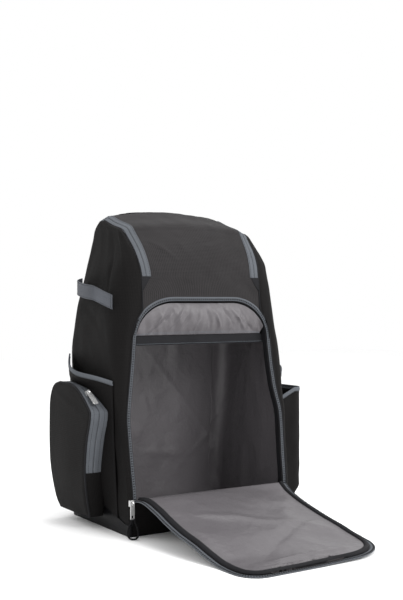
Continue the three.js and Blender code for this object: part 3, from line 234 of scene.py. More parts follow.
# Creases: strength, middle across and along, angle, and length and width as shares of the sheet
SIDE_CREASES = (
    (1.1, (0.18, 0.86), 68, 0.1, 0.016),
    (-0.9, (0.3, 0.8), 62, 0.12, 0.02),
    (0.7, (0.12, 0.62), 84, 0.12, 0.013),
    (-0.8, (0.55, 0.66), 12, 0.2, 0.014),
)
LID_CREASES = (
    (0.8, (0.18, 0.42), -38, 0.12, 0.02),
    (0.8, (0.84, 0.44), 40, 0.12, 0.02),
    (-0.6, (0.62, 0.5), 14, 0.16, 0.02),
)
LINING_CREASES = (
    (0.8, (0.42, 0.6), 75, 0.3, 0.006),
    (-0.9, (0.56, 0.45), 100, 0.3, 0.006),
    (0.8, (0.47, 0.3), 20, 0.05, 0.03),
    (-0.9, (0.51, 0.7), 84, 0.26, 0.005),
    (0.9, (0.61, 0.62), 70, 0.2, 0.006),
    (0.8, (0.36, 0.4), 110, 0.2, 0.006),
)
FLAP_CREASES = (
    (1.3, (0.35, 0.25), 18, 0.25, 0.022),
    (-1.1, (0.62, 0.42), -14, 0.3, 0.02),
    (1.2, (0.5, 0.62), 8, 0.3, 0.016),
    (-0.9, (0.45, 0.68), 10, 0.3, 0.016),
    (1.1, (0.3, 0.8), -32, 0.16, 0.014),
    (0.9, (0.7, 0.78), 28, 0.16, 0.014),
)
BOTTLE_CREASES = (
    (0.8, (0.35, 0.7), 60, 0.2, 0.03),
    (-0.8, (0.6, 0.55), 115, 0.2, 0.03),
)
# The haul handle's middle line: shares of HANDLE_HALF and of its rise
HANDLE_ROUTE = (
    (-1, 0),
    (-0.97, 0.45),
    (-0.72, 0.86),
    (-0.3, 1),
    (0.3, 1),
    (0.72, 0.86),
    (0.97, 0.45),
    (1, 0),
)
# Shoulder straps and their webbing: shares of BAG_HEIGHT and BAG_HALF, and how far they stand off
SHOULDER_ROUTE = (
    (0.855, 0.29, 0),
    (0.82, 0.31, 6),
    (0.76, 0.345, 20),
    (0.68, 0.385, 28),
    (0.58, 0.43, 26),
    (0.48, 0.48, 17),
    (0.4, 0.525, 8),
)
WEBBING_ROUTE = ((0.375, 0.545, 7), (0.28, 0.6, 6), (0.17, 0.66, 4), (0.08, 0.71, 0))
# The cord loop on the main pull, from the pull to the floor and back
CORD_ROUTE = (
    (-164.1, -137.7, 33.2),
    (-163.5, -139.0, 30),
    (-162.3, -140.7, 25),
    (-161.0, -142.8, 19.5),
    (-160.3, -144.6, 14),
    (-160.6, -146.1, 9),
    (-162.5, -147.0, 5),
    (-165.9, -146.7, 2.6),
    (-170.2, -144.8, 2.0),
    (-173.9, -141.7, 2.9),
    (-175.7, -138.6, 6),
    (-175.6, -136.5, 10.5),
    (-174.2, -135.6, 16),
    (-171.9, -135.7, 21.5),
    (-169.3, -136.2, 27),
    (-166.8, -136.6, 32),
)


def lerp(low, high, share):
    return low + (high - low) * share


def clamp(value, low=0.0, high=1.0):
    return min(max(value, low), high)


def ease(value, low, high):
    share = clamp((value - low) / (high - low))
    return share * share * (3 - 2 * share)


def read(table, columns, name, at):
    """A column of a table at a place between its rows, on a curve that never overshoots."""
    pick = columns.index(name)
    last = len(table) - 1
    if at <= table[0][0]:
        return table[0][pick]
    if at >= table[last][0]:
        return table[last][pick]

    def rate(row):
        low, high = table[row], table[row + 1]
        return (high[pick] - low[pick]) / (high[0] - low[0])

    def slope(row):
        if row == 0:
            return rate(0)
        if row == last:
            return rate(last - 1)
        product = rate(row - 1) * rate(row)
        return 0 if product <= 0 else 2 * product / (rate(row - 1) + rate(row))

    row = 0
    while at > table[row + 1][0]:
        row += 1
    span = table[row + 1][0] - table[row][0]
    share = (at - table[row][0]) / span
    start, end = table[row][pick], table[row + 1][pick]
    square, cube = share * share, share**3
    return (
        start * (2 * cube - 3 * square + 1)
        + slope(row) * span * (cube - 2 * square + share)
        + end * (3 * square - 2 * cube)
        + slope(row + 1) * span * (cube - square)
    )


def curve_through(points, share):
    """A point on the smooth curve through points, share going from 0 to 1 over all of them."""
    place = clamp(share) * (len(points) - 1)
    row = min(int(place), len(points) - 2)
    t = place - row
    before = points[max(row - 1, 0)]
    start, end = points[row], points[row + 1]
    after = points[min(row + 2, len(points) - 1)]
    return (
        start * 2
        + (end - before) * t
        + (before * 2 - start * 5 + end * 4 - after) * t * t
        + (start * 3 - before - end * 3 + after) * t**3
    ) * 0.5


def ripple(point, scale, seed):
    """Smooth unevenness from -1 to 1, the same on each run."""
    return noise.noise(Vector(point) / scale + Vector((seed * 7.3, seed * 3.1, seed * 5.7)))


def ridges(point, seed):
    """Sharp winding creases: 1 along them, falling to 0 and below between them."""
    return 1 - 3.2 * abs(ripple(point, 1.0, seed))


def crease(u, v, centre, angle, length, width):
    """A soft ridge across a sheet: 1 on its middle line, fading to 0 at its sides and ends."""
    du, dv = u - centre[0], v - centre[1]
    turn = math.radians(angle)
    along = du * math.cos(turn) + dv * math.sin(turn)
    across = -du * math.sin(turn) + dv * math.cos(turn)
    return math.exp(-((across / width) ** 2) - (along / length) ** 2)


def creased(u, v, creases):
    """The height of a table's creases, each a strength, middle, angle, length and width."""
    return sum(strength * crease(u, v, *shape) for strength, *shape in creases)


# Shapes shared by the pieces


@functools.lru_cache(maxsize=None)
def section(up):
    values = {name: read(SECTIONS, SECTION_COLUMNS, name, up / BAG_HEIGHT) for name in SECTION_COLUMNS[1:]}
    return {
        "fore": -BAG_FORE * values["fore"],
        "aft": BAG_AFT * values["aft"],
        "half": BAG_HALF * values["half"],
        "nose": NOSE_RADIUS * values["nose"],
        "heel": HEEL_RADIUS * values["heel"],
        "seam": BAG_HALF * values["seam"],
        "rear": BAG_HALF * values["rear"],
    }


def arch_half(up):
    if up <= ARCH_SPRING:
        rise = (up - LIP_HEIGHT) / (OPENING_TOP - LIP_HEIGHT)
        return OPENING_HALF * read(OPENING_SIDES, OPENING_COLUMNS, "half", rise)
    share = (up - ARCH_SPRING) / (OPENING_TOP - ARCH_SPRING)
    if share >= 1:
        return 0
    return ARCH_FLAT + (arch_half(ARCH_SPRING) - ARCH_FLAT) * math.sqrt(1 - share * share)


def arch_rise(across, inset=0.0):
    reach = arch_half(ARCH_SPRING) - ARCH_FLAT - inset
    beyond = max(abs(across) - ARCH_FLAT, 0) / reach
    return ARCH_SPRING + (OPENING_TOP - ARCH_SPRING - inset) * math.sqrt(max(1 - beyond * beyond, 0))


SEAM_HALF = section(ZIP_FOOT)["seam"]
ARCH_MEET = arch_rise(SEAM_HALF)


def edge_half(up):
    """Front edge of a side: the opening's edge, or the seam where that lies further out."""
    return max(arch_half(up), section(up)["seam"]) if up < ARCH_MEET else section(up)["seam"]


# Where round a side its front edge, nose, flat side, heel and back strip begin
ROUND_STOPS = (0.0, 0.08, 0.24, 0.8, 0.93, 1.0)


def contour(share, up):
    """Across and depth of a side's surface, share going from its front edge to its back seam."""
    part = section(round(up, 1))
    stops = ROUND_STOPS
    if share < stops[1]:
        return lerp(edge_half(up), part["half"] - part["nose"], share / stops[1]), part["fore"]
    if share < stops[2]:
        turn = math.pi / 2 * (share - stops[1]) / (stops[2] - stops[1])
        nose = part["nose"]
        return part["half"] - nose + nose * math.sin(turn), part["fore"] + nose - nose * math.cos(turn)
    if share < stops[3]:
        along = (share - stops[2]) / (stops[3] - stops[2])
        return part["half"], lerp(part["fore"] + part["nose"], part["aft"] - part["heel"], along)
    if share < stops[4]:
        turn = math.pi / 2 * (share - stops[3]) / (stops[4] - stops[3])
        heel = part["heel"]
        return part["half"] - heel + heel * math.cos(turn), part["aft"] - heel + heel * math.sin(turn)
    along = (share - stops[4]) / (stops[5] - stops[4])
    return lerp(part["half"] - part["heel"], part["rear"], along), part["aft"]


def body_outward(point):
    lift = clamp((point.z - OPENING_TOP) / (BAG_HEIGHT - OPENING_TOP))
    half = BAG_HALF * lerp(0.75, 0.4, lift)
    core = Vector((
        clamp(point.x, -half, half),
        clamp(point.y, -BAG_FORE * lerp(0.62, 0.04, lift), BAG_AFT * lerp(0.64, 0.36, lift)),
        min(point.z, BAG_HEIGHT * 0.83),
    ))
    return (point - core).normalized()


def boot_top(depth):
    share = clamp((depth + BAG_FORE * 0.867) / (BAG_FORE * 0.547))
    return lerp(BOOT_NOSE_HEIGHT, BOOT_HEEL_HEIGHT, share)


def front_point(across, up):
    swell = FRONT_SWELL * max(1 - (across / SEAM_HALF) ** 2, 0)
    return Vector((across, section(round(up, 1))["fore"] - swell, up))


def back_face(across, up):
    part = section(round(up, 1))
    share = clamp(across / part["rear"], -1, 1)
    rise = math.sin(clamp(up / ZIP_REAR_FOOT) * math.pi)
    return part["aft"] + BACK_SWELL * rise * (1 - share * share)


def lid_seam():
    """The lid zip's outer and inner edges and the lid's swell, from the front over to the back."""
    shares = (0, 0.12, 0.24, 0.36, 0.48, 0.6, 0.7, 0.8, 0.9, 1)
    places = [(lerp(ZIP_FOOT, SEAM_TOP, share), 0) for share in shares]
    places += [(SEAM_TOP, share) for share in (1 / 3, 2 / 3, 1)]
    places += [(lerp(ZIP_FOOT, SEAM_TOP, 0.9), 1), (ZIP_REAR_FOOT, 1)]
    seam = []
    for up, share in places:
        part = section(round(up, 1))
        outer = Vector((lerp(part["seam"], part["rear"], share), lerp(part["fore"], part["aft"], share), up))
        foot = ZIP_REAR_FOOT if share == 1 else ZIP_FOOT
        rise = ease(up, foot, SEAM_TOP)
        lean = LID_TAPE_LEAN * rise
        inner = outer + Vector((-math.cos(lean), 0, math.sin(lean))) * LID_TAPE
        seam.append((outer, inner, lerp(REAR_SWELL if share == 1 else FRONT_SWELL, CROWN_SWELL, rise)))
    return seam


LID_SEAM = lid_seam()
OUTER_SEAM = [row[0] for row in LID_SEAM]
INNER_SEAM = [row[1] for row in LID_SEAM]
SEAM_SWELL = [Vector((row[2], 0, 0)) for row in LID_SEAM]
LID_END = 0.86


def lid_row(share, across):
    """A point across the crown between both zips; share runs along the zip, across from -1 to 1."""
    inner = curve_through(INNER_SEAM, share)
    step = 0.01
    along = (curve_through(INNER_SEAM, share + step) - curve_through(INNER_SEAM, share - step)).normalized()
    outward = Vector((0, -along.z, along.y)).normalized()
    swell = curve_through(SEAM_SWELL, share).x
    return Vector((across * inner.x, inner.y, inner.z)) + outward * swell * (1 - across * across)


def flap_point(across, along, lift):
    share = clamp(along / FLAP_LENGTH)
    rightward = ease(across, -0.4 * OPENING_HALF, OPENING_HALF)

    def at(place):
        ahead = BAG_FORE + 0.3 + FLAP_LENGTH * read(FLAP_PROFILE, FLAP_COLUMNS, "ahead", place)
        up = read(FLAP_PROFILE, FLAP_COLUMNS, "up", place)
        sag = read(FLAP_PROFILE, FLAP_COLUMNS, "sag", place)
        return Vector((across, -ahead, LIP_HEIGHT * lerp(up, sag, rightward)))

    run = at(min(share + 0.01, 1)) - at(max(share - 0.01, 0))
    return at(share) + Vector((0, run.z, -run.y)).normalized() * lift


def flap_edge(side):
    """Half of the flap's outline, from its root along one side to the middle of its end."""
    column = "left" if side == LEFT else "right"
    spring, flat = FLAP_SPRING[side], FLAP_FLAT[side]
    edge = []
    for step in range(25):
        share = spring * step / 24
        half = OPENING_HALF * read(FLAP_SIDES, FLAP_SIDE_COLUMNS, column, share)
        edge.append((side * half, share * FLAP_LENGTH))
    reach = abs(edge[-1][0]) - flat
    for step in range(1, 13):
        turn = math.pi / 2 * step / 12
        along = (spring + (1 - spring) * math.sin(turn)) * FLAP_LENGTH
        edge.append((side * (flat + reach * math.cos(turn)), along))
    middle = (FLAP_FLAT[RIGHT] - FLAP_FLAT[LEFT]) / 2
    return edge + [(lerp(side * flat, middle, step / 8), FLAP_LENGTH) for step in range(1, 9)]


def arch_outline():
    heights = [lerp(LIP_HEIGHT, ARCH_SPRING, step / 30) for step in range(31)]
    side = [(arch_half(up), up) for up in heights]
    half = side[-1][0]
    for step in range(1, 15):
        turn = math.pi / 2 * step / 14
        across = ARCH_FLAT + (half - ARCH_FLAT) * math.cos(turn)
        side.append((across, ARCH_SPRING + (OPENING_TOP - ARCH_SPRING) * math.sin(turn)))
    return side + [(ARCH_FLAT * (1 - step / 8), OPENING_TOP) for step in range(1, 9)]


def both_sides(half):
    return half + [(-x, y) for x, y in reversed(half[:-1])]


def inset(line, distance):
    moved = []
    for place, (x, y) in enumerate(line):
        before, after = line[max(place - 1, 0)], line[min(place + 1, len(line) - 1)]
        dx, dy = after[0] - before[0], after[1] - before[1]
        size = math.hypot(dx, dy)
        moved.append((x - dy / size * distance, y + dx / size * distance))
    return moved


FLAP_LINE = flap_edge(RIGHT) + flap_edge(LEFT)[-2::-1]
ARCH_LINE = both_sides(arch_outline())


def on_line(line, share):
    place = clamp(share) * (len(line) - 1)
    row = min(int(place), len(line) - 2)
    t = place - row
    return lerp(line[row][0], line[row + 1][0], t), lerp(line[row][1], line[row + 1][1], t)


@functools.lru_cache(maxsize=None)
def inset_line(kind, distance):
    return inset({"flap": FLAP_LINE, "arch": ARCH_LINE}[kind], distance)


def ring_point(kind, share, distance):
    """A point on an outline moved inwards by a distance, with whole tenths of a millimetre kept."""
    low = math.floor(distance)
    near = on_line(inset_line(kind, low), share)
    far = on_line(inset_line(kind, low + 1), share)
    part = distance - low
    return lerp(near[0], far[0], part), lerp(near[1], far[1], part)


def side_face(up):
    return section(round(up, 1))["half"] + 0.6


def sleeve_out(side, depth, up):
    share = clamp((depth + SLEEVE_FORE) / (SLEEVE_FORE + SLEEVE_AFT))
    off = SLEEVE_DEPTH[side] * read(SLEEVE_SWELL, SWELL_COLUMNS, "off", up / SLEEVE_MOUTH)
    return side_face(up) + 2.6 + off * math.sin(share * math.pi)


def sleeve_mouth(share):
    return SLEEVE_MOUTH * read(SLEEVE_MOUTH_LINE, MOUTH_COLUMNS, "up", share)


def pocket_column(up, name):
    return read(POCKET_EDGES, POCKET_COLUMNS, name, (up - POCKET_FOOT) / (POCKET_TOP - POCKET_FOOT))


def pocket_face_out(up, share):
    swell = POCKET_SWELL * pocket_column(up, "swell")
    crown = POCKET_CROWN * math.sin(share * math.pi) * math.sin(up / POCKET_TOP * math.pi)
    return POCKET_OUT + swell + crown


def side_surface(depth, up):
    part = section(round(up, 1))
    nose, heel = part["nose"], part["heel"]
    ahead = clamp(part["fore"] + nose - depth, 0, nose)
    behind = clamp(depth - (part["aft"] - heel), 0, heel)
    cut = nose - math.sqrt(nose**2 - ahead**2) + heel - math.sqrt(heel**2 - behind**2)
    return part["half"] - cut


def bottle_line(up):
    """The bottle pocket's wall from above, from its front end round to its back end."""
    tuck = BOTTLE_CORNER * 0.6 * (1 - ease(up, BOTTLE_FOOT, BOTTLE_FOOT + BOTTLE_CORNER))
    corner = BOTTLE_OUT - tuck - BOTTLE_CORNER
    line = [(sleeve_out(RIGHT, 2.6 - BOTTLE_FORE, up) + 0.9, -BOTTLE_FORE)]
    centres = ((BOTTLE_CORNER - BOTTLE_FORE, -90), (BOTTLE_AFT - BOTTLE_CORNER, 0))
    for centre, start in centres:
        for step in range(9):
            turn = math.radians(start + 90 * step / 8)
            line.append((corner + BOTTLE_CORNER * math.cos(turn), centre + BOTTLE_CORNER * math.sin(turn)))
    line.append((sleeve_out(RIGHT, BOTTLE_AFT - 2.6, up) + 0.9, BOTTLE_AFT))
    return line


@functools.lru_cache(maxsize=None)
def even_bottle_line(up):
    """The same wall with points evenly spaced along it."""
    line = [Vector((x, y, 0)) for x, y in bottle_line(up)]
    lengths = [0.0]
    for start, end in zip(line, line[1:]):
        lengths.append(lengths[-1] + (end - start).length)
    even, row = [], 0
    for step in range(81):
        target = lengths[-1] * step / 80
        while row < len(line) - 2 and lengths[row + 1] < target:
            row += 1
        part = (target - lengths[row]) / (lengths[row + 1] - lengths[row])
        point = line[row].lerp(line[row + 1], clamp(part))
        even.append((point.x, point.y))
    return even


def bottle_mouth(share):
    line = even_bottle_line(BOTTLE_MOUTH_OUTER)
    x, _ = on_line(line, share)
    inner = sleeve_out(RIGHT, -BOTTLE_FORE, BOTTLE_MOUTH_INNER)
    reach = clamp((x - inner) / (BOTTLE_OUT - BOTTLE_CORNER - inner))
    return lerp(BOTTLE_MOUTH_INNER, BOTTLE_MOUTH_OUTER, reach)


# Mesh making


def sheet(name, columns, rows, place, outward, span, thickness=0.0, offset=-1.0, rounding=0.3):
    """A grid whose points are set by place(u, v) in millimetres, with a wall and rounded edges.

    The UV map holds real metres, so that a weave has its own size on every piece.
    """
    bpy.ops.object.select_all(action="DESELECT")
    bpy.ops.mesh.primitive_grid_add(x_subdivisions=columns, y_subdivisions=rows, size=1, location=(0, 0, 0))
    piece = bpy.context.object
    piece.name = piece.data.name = name
    mesh = piece.data
    for vertex in mesh.vertices:
        vertex.co = place(vertex.co.x + 0.5, vertex.co.y + 0.5) * MM
    for loop in mesh.uv_layers.active.data:
        loop.uv = (loop.uv[0] * span[0] * MM, loop.uv[1] * span[1] * MM)
    mesh.update()
    facing = 0.0
    for face in mesh.polygons:
        facing += face.normal.dot(outward(face.center / MM)) * face.area
    if facing < 0:
        mesh.flip_normals()
    if thickness:
        wall = piece.modifiers.new("Wall", "SOLIDIFY")
        wall.thickness = thickness * MM
        wall.offset = offset
        wall.use_quality_normals = True
        bpy.ops.object.modifier_apply(modifier=wall.name)
    if thickness and rounding:
        edge = piece.modifiers.new("Edge", "BEVEL")
        edge.width = thickness * rounding * MM
        edge.segments = 2
        edge.limit_method = "ANGLE"
        edge.angle_limit = math.radians(62)
        bpy.ops.object.modifier_apply(modifier=edge.name)
    bpy.ops.object.shade_smooth_by_angle(angle=math.radians(50))
    return piece


def tube(name, points, radius, cyclic=False, resolution=3):
    """A round cord or piping through points in millimetres, turned into a mesh."""
    curve = bpy.data.curves.new(name, "CURVE")
    curve.dimensions = "3D"
    curve.bevel_depth = radius * MM
    curve.bevel_resolution = resolution
    curve.use_fill_caps = True
    spline = curve.splines.new("POLY")
    spline.points.add(len(points) - 1)
    for target, point in zip(spline.points, points):
        target.co = (*(point * MM), 1)
    spline.use_cyclic_u = cyclic
    piece = bpy.data.objects.new(name, curve)
    bpy.context.scene.collection.objects.link(piece)
    bpy.ops.object.select_all(action="DESELECT")
    piece.select_set(True)
    bpy.context.view_layer.objects.active = piece
    bpy.ops.object.convert(target="MESH")
    piece = bpy.context.object
    bpy.ops.object.shade_smooth()
    return piece


def marks_along(points, normals, pitch, start=0.5):
    """Places spaced by pitch along a line of points: each is its centre, direction and normal."""
    marks, reach = [], pitch * start
    walked = 0.0
    for place in range(len(points) - 1):
        step = points[place + 1] - points[place]
        length = step.length
        while length > 0 and walked + length >= reach:
            part = (reach - walked) / length
            normal = normals[place].lerp(normals[place + 1], part).normalized()
            marks.append((points[place] + step * part, step.normalized(), normal))
            reach += pitch
        walked += length
    return marks


def bars(name, marks, length, width, height):
    """Small bars with sloping sides, one at each mark: stitches of thread, or teeth of a zip."""
    corners, faces = [], []
    for centre, along, normal in marks:
        across = normal.cross(along).normalized()
        base = len(corners)
        for lift, shrink in ((-0.3, 1.0), (0.45, 0.9), (1.0, 0.55)):
            for side, end in ((-1, -1), (1, -1), (1, 1), (-1, 1)):
                corner = centre + across * side * width / 2 * shrink + along * end * length / 2 * shrink
                corners.append((corner + normal * lift * height) * MM)
        for ring in (base, base + 4):
            for corner in range(4):
                after = (corner + 1) % 4
                faces.append([ring + corner, ring + after, ring + 4 + after, ring + 4 + corner])
        faces.append([base + 8, base + 9, base + 10, base + 11])
        faces.append([base + 3, base + 2, base + 1, base])
    mesh = bpy.data.meshes.new(name)
    mesh.from_pydata(corners, [], faces)
    mesh.update()
    piece = bpy.data.objects.new(name, mesh)
    bpy.context.scene.collection.objects.link(piece)
    return piece


def line_on(place, outward, line, steps=160, lift=0.0):
    """Points and normals along a line on a sheet. The line gives u and v for a share from 0 to 1."""
    points, normals = [], []
    for step in range(steps + 1):
        u, v = line(step / steps)
        point = place(u, v)
        normal = surface_normal(place, outward, u, v)
        points.append(point + normal * lift)
        normals.append(normal)
    return points, normals


def surface_normal(place, outward, u, v):
    step = 0.004
    low_u, high_u = max(u - step, 0), min(u + step, 1)
    low_v, high_v = max(v - step, 0), min(v + step, 1)
    across = place(high_u, v) - place(low_u, v)
    along = place(u, high_v) - place(u, low_v)
    normal = across.cross(along).normalized()
    return normal if normal.dot(outward(place(u, v))) > 0 else -normal


def finish(piece, material, nodes=(), body="bag"):
    piece.data.materials.clear()
    piece.data.materials.append(bpy.data.materials[material])
    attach(piece, body)
    if nodes:
        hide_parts(*nodes)
    return piece


def refinish(node, material):
    """Gives a better material to a solid that shows as it is."""
    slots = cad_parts[node].data.materials
    slots.clear()
    slots.append(bpy.data.materials[material])


# Materials


def linear(value):
    """A colour's sRGB hex value as linear light."""
    channels = [int(value[start : start + 2], 16) / 255 for start in (1, 3, 5)]
    return tuple(c / 12.92 if c <= 0.04045 else ((c + 0.055) / 1.055) ** 2.4 for c in channels) + (1.0,)


def add(tree, kind, settings=None, **sockets):
    """Adds a node. A socket gets a value or a link from an output, and is named or, as i0, numbered."""
    made = tree.nodes.new(kind)
    for name, value in (settings or {}).items():
        setattr(made, name, value)
    for name, value in sockets.items():
        numbered = name[0] == "i" and name[1:].isdigit()
        target = made.inputs[int(name[1:]) if numbered else name.replace("_", " ")]
        if isinstance(value, bpy.types.NodeSocket):
            tree.links.new(value, target)
        else:
            target.default_value = value
    return made


def new_material(name):
    material = bpy.data.materials.new(name)
    material.use_nodes = True
    material.node_tree.nodes.clear()
    return material.node_tree


def band_scale(period):
    """The scale that gives a wave texture bands of a period in millimetres on metres of UV."""
    return 2 * math.pi / 20 / (period * MM)


def woven(name, colour, lighter, thread, roughness, gloss, depth, grid=0.0, crumple=0.0, slant=0.0):
    """Plain-woven cloth: crossing threads of a width in millimetres, with a rip-stop grid if asked."""
    tree = new_material(name)
    uv = add(tree, "ShaderNodeTexCoord").outputs["UV"]
    turned = add(tree, "ShaderNodeMapping", Vector=uv, Rotation=(0, 0, slant)).outputs["Vector"]
    scale = band_scale(thread)
    warp, weft = [
        add(
            tree, "ShaderNodeTexWave", {"bands_direction": direction}, Vector=turned, Scale=scale,
            Distortion=0.6, Detail=1.0,
        ).outputs["Fac"]
        for direction in ("X", "Y")
    ]
    threads = add(tree, "ShaderNodeMath", {"operation": "MULTIPLY"}, i0=warp, i1=weft).outputs[0]
    height = threads
    shade = threads
    if grid:
        lines = []
        for direction in ("X", "Y"):
            bands = {"bands_direction": direction}
            wave = add(tree, "ShaderNodeTexWave", bands, Vector=uv, Scale=band_scale(grid)).outputs["Fac"]
            lines.append(add(tree, "ShaderNodeMath", {"operation": "POWER"}, i0=wave, i1=7.0).outputs[0])
        ribs = add(tree, "ShaderNodeMath", {"operation": "MAXIMUM"}, i0=lines[0], i1=lines[1]).outputs[0]
        height = add(tree, "ShaderNodeMath", {"operation": "ADD"}, i0=threads, i1=ribs).outputs[0]
        part = add(tree, "ShaderNodeMath", {"operation": "MULTIPLY"}, i0=threads, i1=0.4).outputs[0]
        shade = add(tree, "ShaderNodeMath", {"operation": "MAXIMUM"}, i0=part, i1=ribs).outputs[0]
    place = add(tree, "ShaderNodeTexCoord").outputs["Object"]
    fade = add(tree, "ShaderNodeTexNoise", Vector=place, Scale=9.0, Detail=3.0, Roughness=0.55).outputs["Fac"]
    amount = add(tree, "ShaderNodeMath", {"operation": "MULTIPLY"}, i0=shade, i1=fade).outputs[0]
    tint = add(
        tree, "ShaderNodeMix", {"data_type": "RGBA"}, i0=amount, i6=linear(colour), i7=linear(lighter),
    ).outputs[2]
    bump = add(tree, "ShaderNodeBump", Height=height, Strength=0.5, Distance=depth * MM)
    if crumple:
        dents = add(
            tree, "ShaderNodeTexNoise", Vector=place, Scale=34.0, Detail=4.0, Roughness=0.6, Distortion=0.4,
        ).outputs["Fac"]
        bump = add(
            tree, "ShaderNodeBump", Height=dents, Normal=bump.outputs[0], Strength=0.6,
            Distance=crumple * MM,
        )
    rough = add(
        tree, "ShaderNodeMapRange", Value=fade, To_Min=roughness - 0.06, To_Max=roughness + 0.06,
    ).outputs[0]
    shader = add(
        tree, "ShaderNodeBsdfPrincipled", Base_Color=tint, Roughness=rough, Normal=bump.outputs[0],
        Specular_IOR_Level=gloss,
    )
    add(tree, "ShaderNodeOutputMaterial", Surface=shader.outputs[0])


def ribbed(name, colour, lighter, rib, roughness, depth, gloss=0.12):
    """Narrow woven goods, with ribs that cross them at a spacing in millimetres."""
    tree = new_material(name)
    uv = add(tree, "ShaderNodeTexCoord").outputs["UV"]
    ribs = add(
        tree, "ShaderNodeTexWave", {"bands_direction": "Y"}, Vector=uv, Scale=band_scale(rib),
        Distortion=0.4, Detail=1.0,
    ).outputs["Fac"]
    cords = add(
        tree, "ShaderNodeTexWave", {"bands_direction": "X"}, Vector=uv, Scale=band_scale(rib * 2.5),
        Distortion=0.3,
    ).outputs["Fac"]
    blend = add(tree, "ShaderNodeMath", {"operation": "MULTIPLY_ADD"}, i0=cords, i1=0.5, i2=ribs)
    place = add(tree, "ShaderNodeTexCoord").outputs["Object"]
    fade = add(tree, "ShaderNodeTexNoise", Vector=place, Scale=22.0, Detail=3.0, Roughness=0.6).outputs["Fac"]
    amount = add(tree, "ShaderNodeMath", {"operation": "MULTIPLY"}, i0=ribs, i1=fade).outputs[0]
    tint = add(
        tree, "ShaderNodeMix", {"data_type": "RGBA"}, i0=amount, i6=linear(colour), i7=linear(lighter),
    ).outputs[2]
    bump = add(tree, "ShaderNodeBump", Height=blend.outputs[0], Strength=0.6, Distance=depth * MM).outputs[0]
    shader = add(
        tree, "ShaderNodeBsdfPrincipled", Base_Color=tint, Roughness=roughness, Normal=bump,
        Specular_IOR_Level=gloss,
    )
    add(tree, "ShaderNodeOutputMaterial", Surface=shader.outputs[0])


def hard(name, colour, worn, roughness, metallic, grain, depth, gloss=0.5):
    """Cast metal or moulded nylon, with a fine unevenness of a grain in millimetres."""
    tree = new_material(name)
    place = add(tree, "ShaderNodeTexCoord").outputs["Object"]
    fine = add(tree, "ShaderNodeTexNoise", Vector=place, Scale=1 / (grain * MM), Detail=3.0).outputs["Fac"]
    broad = add(tree, "ShaderNodeTexNoise", Vector=place, Scale=140.0, Detail=2.0).outputs["Fac"]
    tint = add(
        tree, "ShaderNodeMix", {"data_type": "RGBA"}, i0=broad, i6=linear(colour), i7=linear(worn),
    ).outputs[2]
    rough = add(
        tree, "ShaderNodeMapRange", Value=fine, To_Min=roughness - 0.08, To_Max=roughness + 0.1,
    ).outputs[0]
    bump = add(tree, "ShaderNodeBump", Height=fine, Strength=0.3, Distance=depth * MM).outputs[0]
    shader = add(
        tree, "ShaderNodeBsdfPrincipled", Base_Color=tint, Roughness=rough, Normal=bump, Metallic=metallic,
        Specular_IOR_Level=gloss,
    )
    add(tree, "ShaderNodeOutputMaterial", Surface=shader.outputs[0])


def make_materials(colours):
    # Woven 600-denier polyester: dull black, with threads too fine to show, drawn five times as wide
    woven("Woven polyester", colours.side_cloth, "#211f1f", 2.4, 0.75, 0.1, 0.3, crumple=1.4)
    # Ripstop polyester: a square grid of thicker threads, a little greyer than the sides
    woven("Ripstop polyester", colours.ripstop, "#444243", 1.8, 0.7, 0.14, 0.3, grid=3.6, crumple=1.3)
    # Polyurethane-coated polyester: smoother and blacker, with a faint gloss
    woven("Coated polyester", colours.coated, "#131315", 1.6, 0.45, 0.12, 0.12, crumple=0.8)
    # Taffeta lining: thin grey nylon with a soft silky shine that shows its creases
    woven("Taffeta lining", colours.lining, "#777476", 1.6, 0.38, 0.35, 0.1, crumple=3.2)
    # Dark bias tape: ribbed black polyester folded over the raw edges
    ribbed("Grosgrain binding", colours.binding, "#2c2c2f", 1.6, 0.75, 0.35)
    # Zip tape: bluish grey woven polyester with a herringbone so fine that it reads as ribs
    ribbed("Zip tape", colours.zip_tape, "#6e7277", 1.5, 0.72, 0.3)
    # Polyester webbing: thick ribs across the strap
    ribbed("Grey webbing", colours.webbing, "#676a70", 1.9, 0.66, 0.5)
    ribbed("Black webbing", colours.black_webbing, "#29292c", 1.9, 0.66, 0.5)
    # Spacer mesh over foam: matt black with open cells
    woven("Spacer mesh", colours.mesh, "#323338", 3.4, 0.9, 0.08, 0.9, slant=math.radians(45))
    # Coil of nylon teeth, dark and slightly glossy; drawn half again as coarse where it shows
    hard("Dark nylon coil", colours.coil, "#26282b", 0.5, 0.0, 0.8, 0.05, gloss=0.2)
    # Die-cast zinc alloy, bare and lightly tumbled: pale grey with soft highlights
    hard("Zinc alloy", colours.metal, "#c4c4c4", 0.34, 0.75, 0.5, 0.03)
    # Moulded nylon: black, with the faint texture of its mould
    hard("Moulded nylon", "#111113", "#1b1b1e", 0.42, 0.0, 0.6, 0.05, gloss=0.35)
    # Spun polyester thread
    ribbed("Dark thread", "#1f2022", "#38393d", 0.8, 0.7, 0.1)
    ribbed("Grey thread", "#6b7279", "#90979e", 0.8, 0.7, 0.1)
    # Braided polyester cord
    ribbed("Braided cord", colours.cord, "#262629", 1.4, 0.7, 0.4)


# Settings


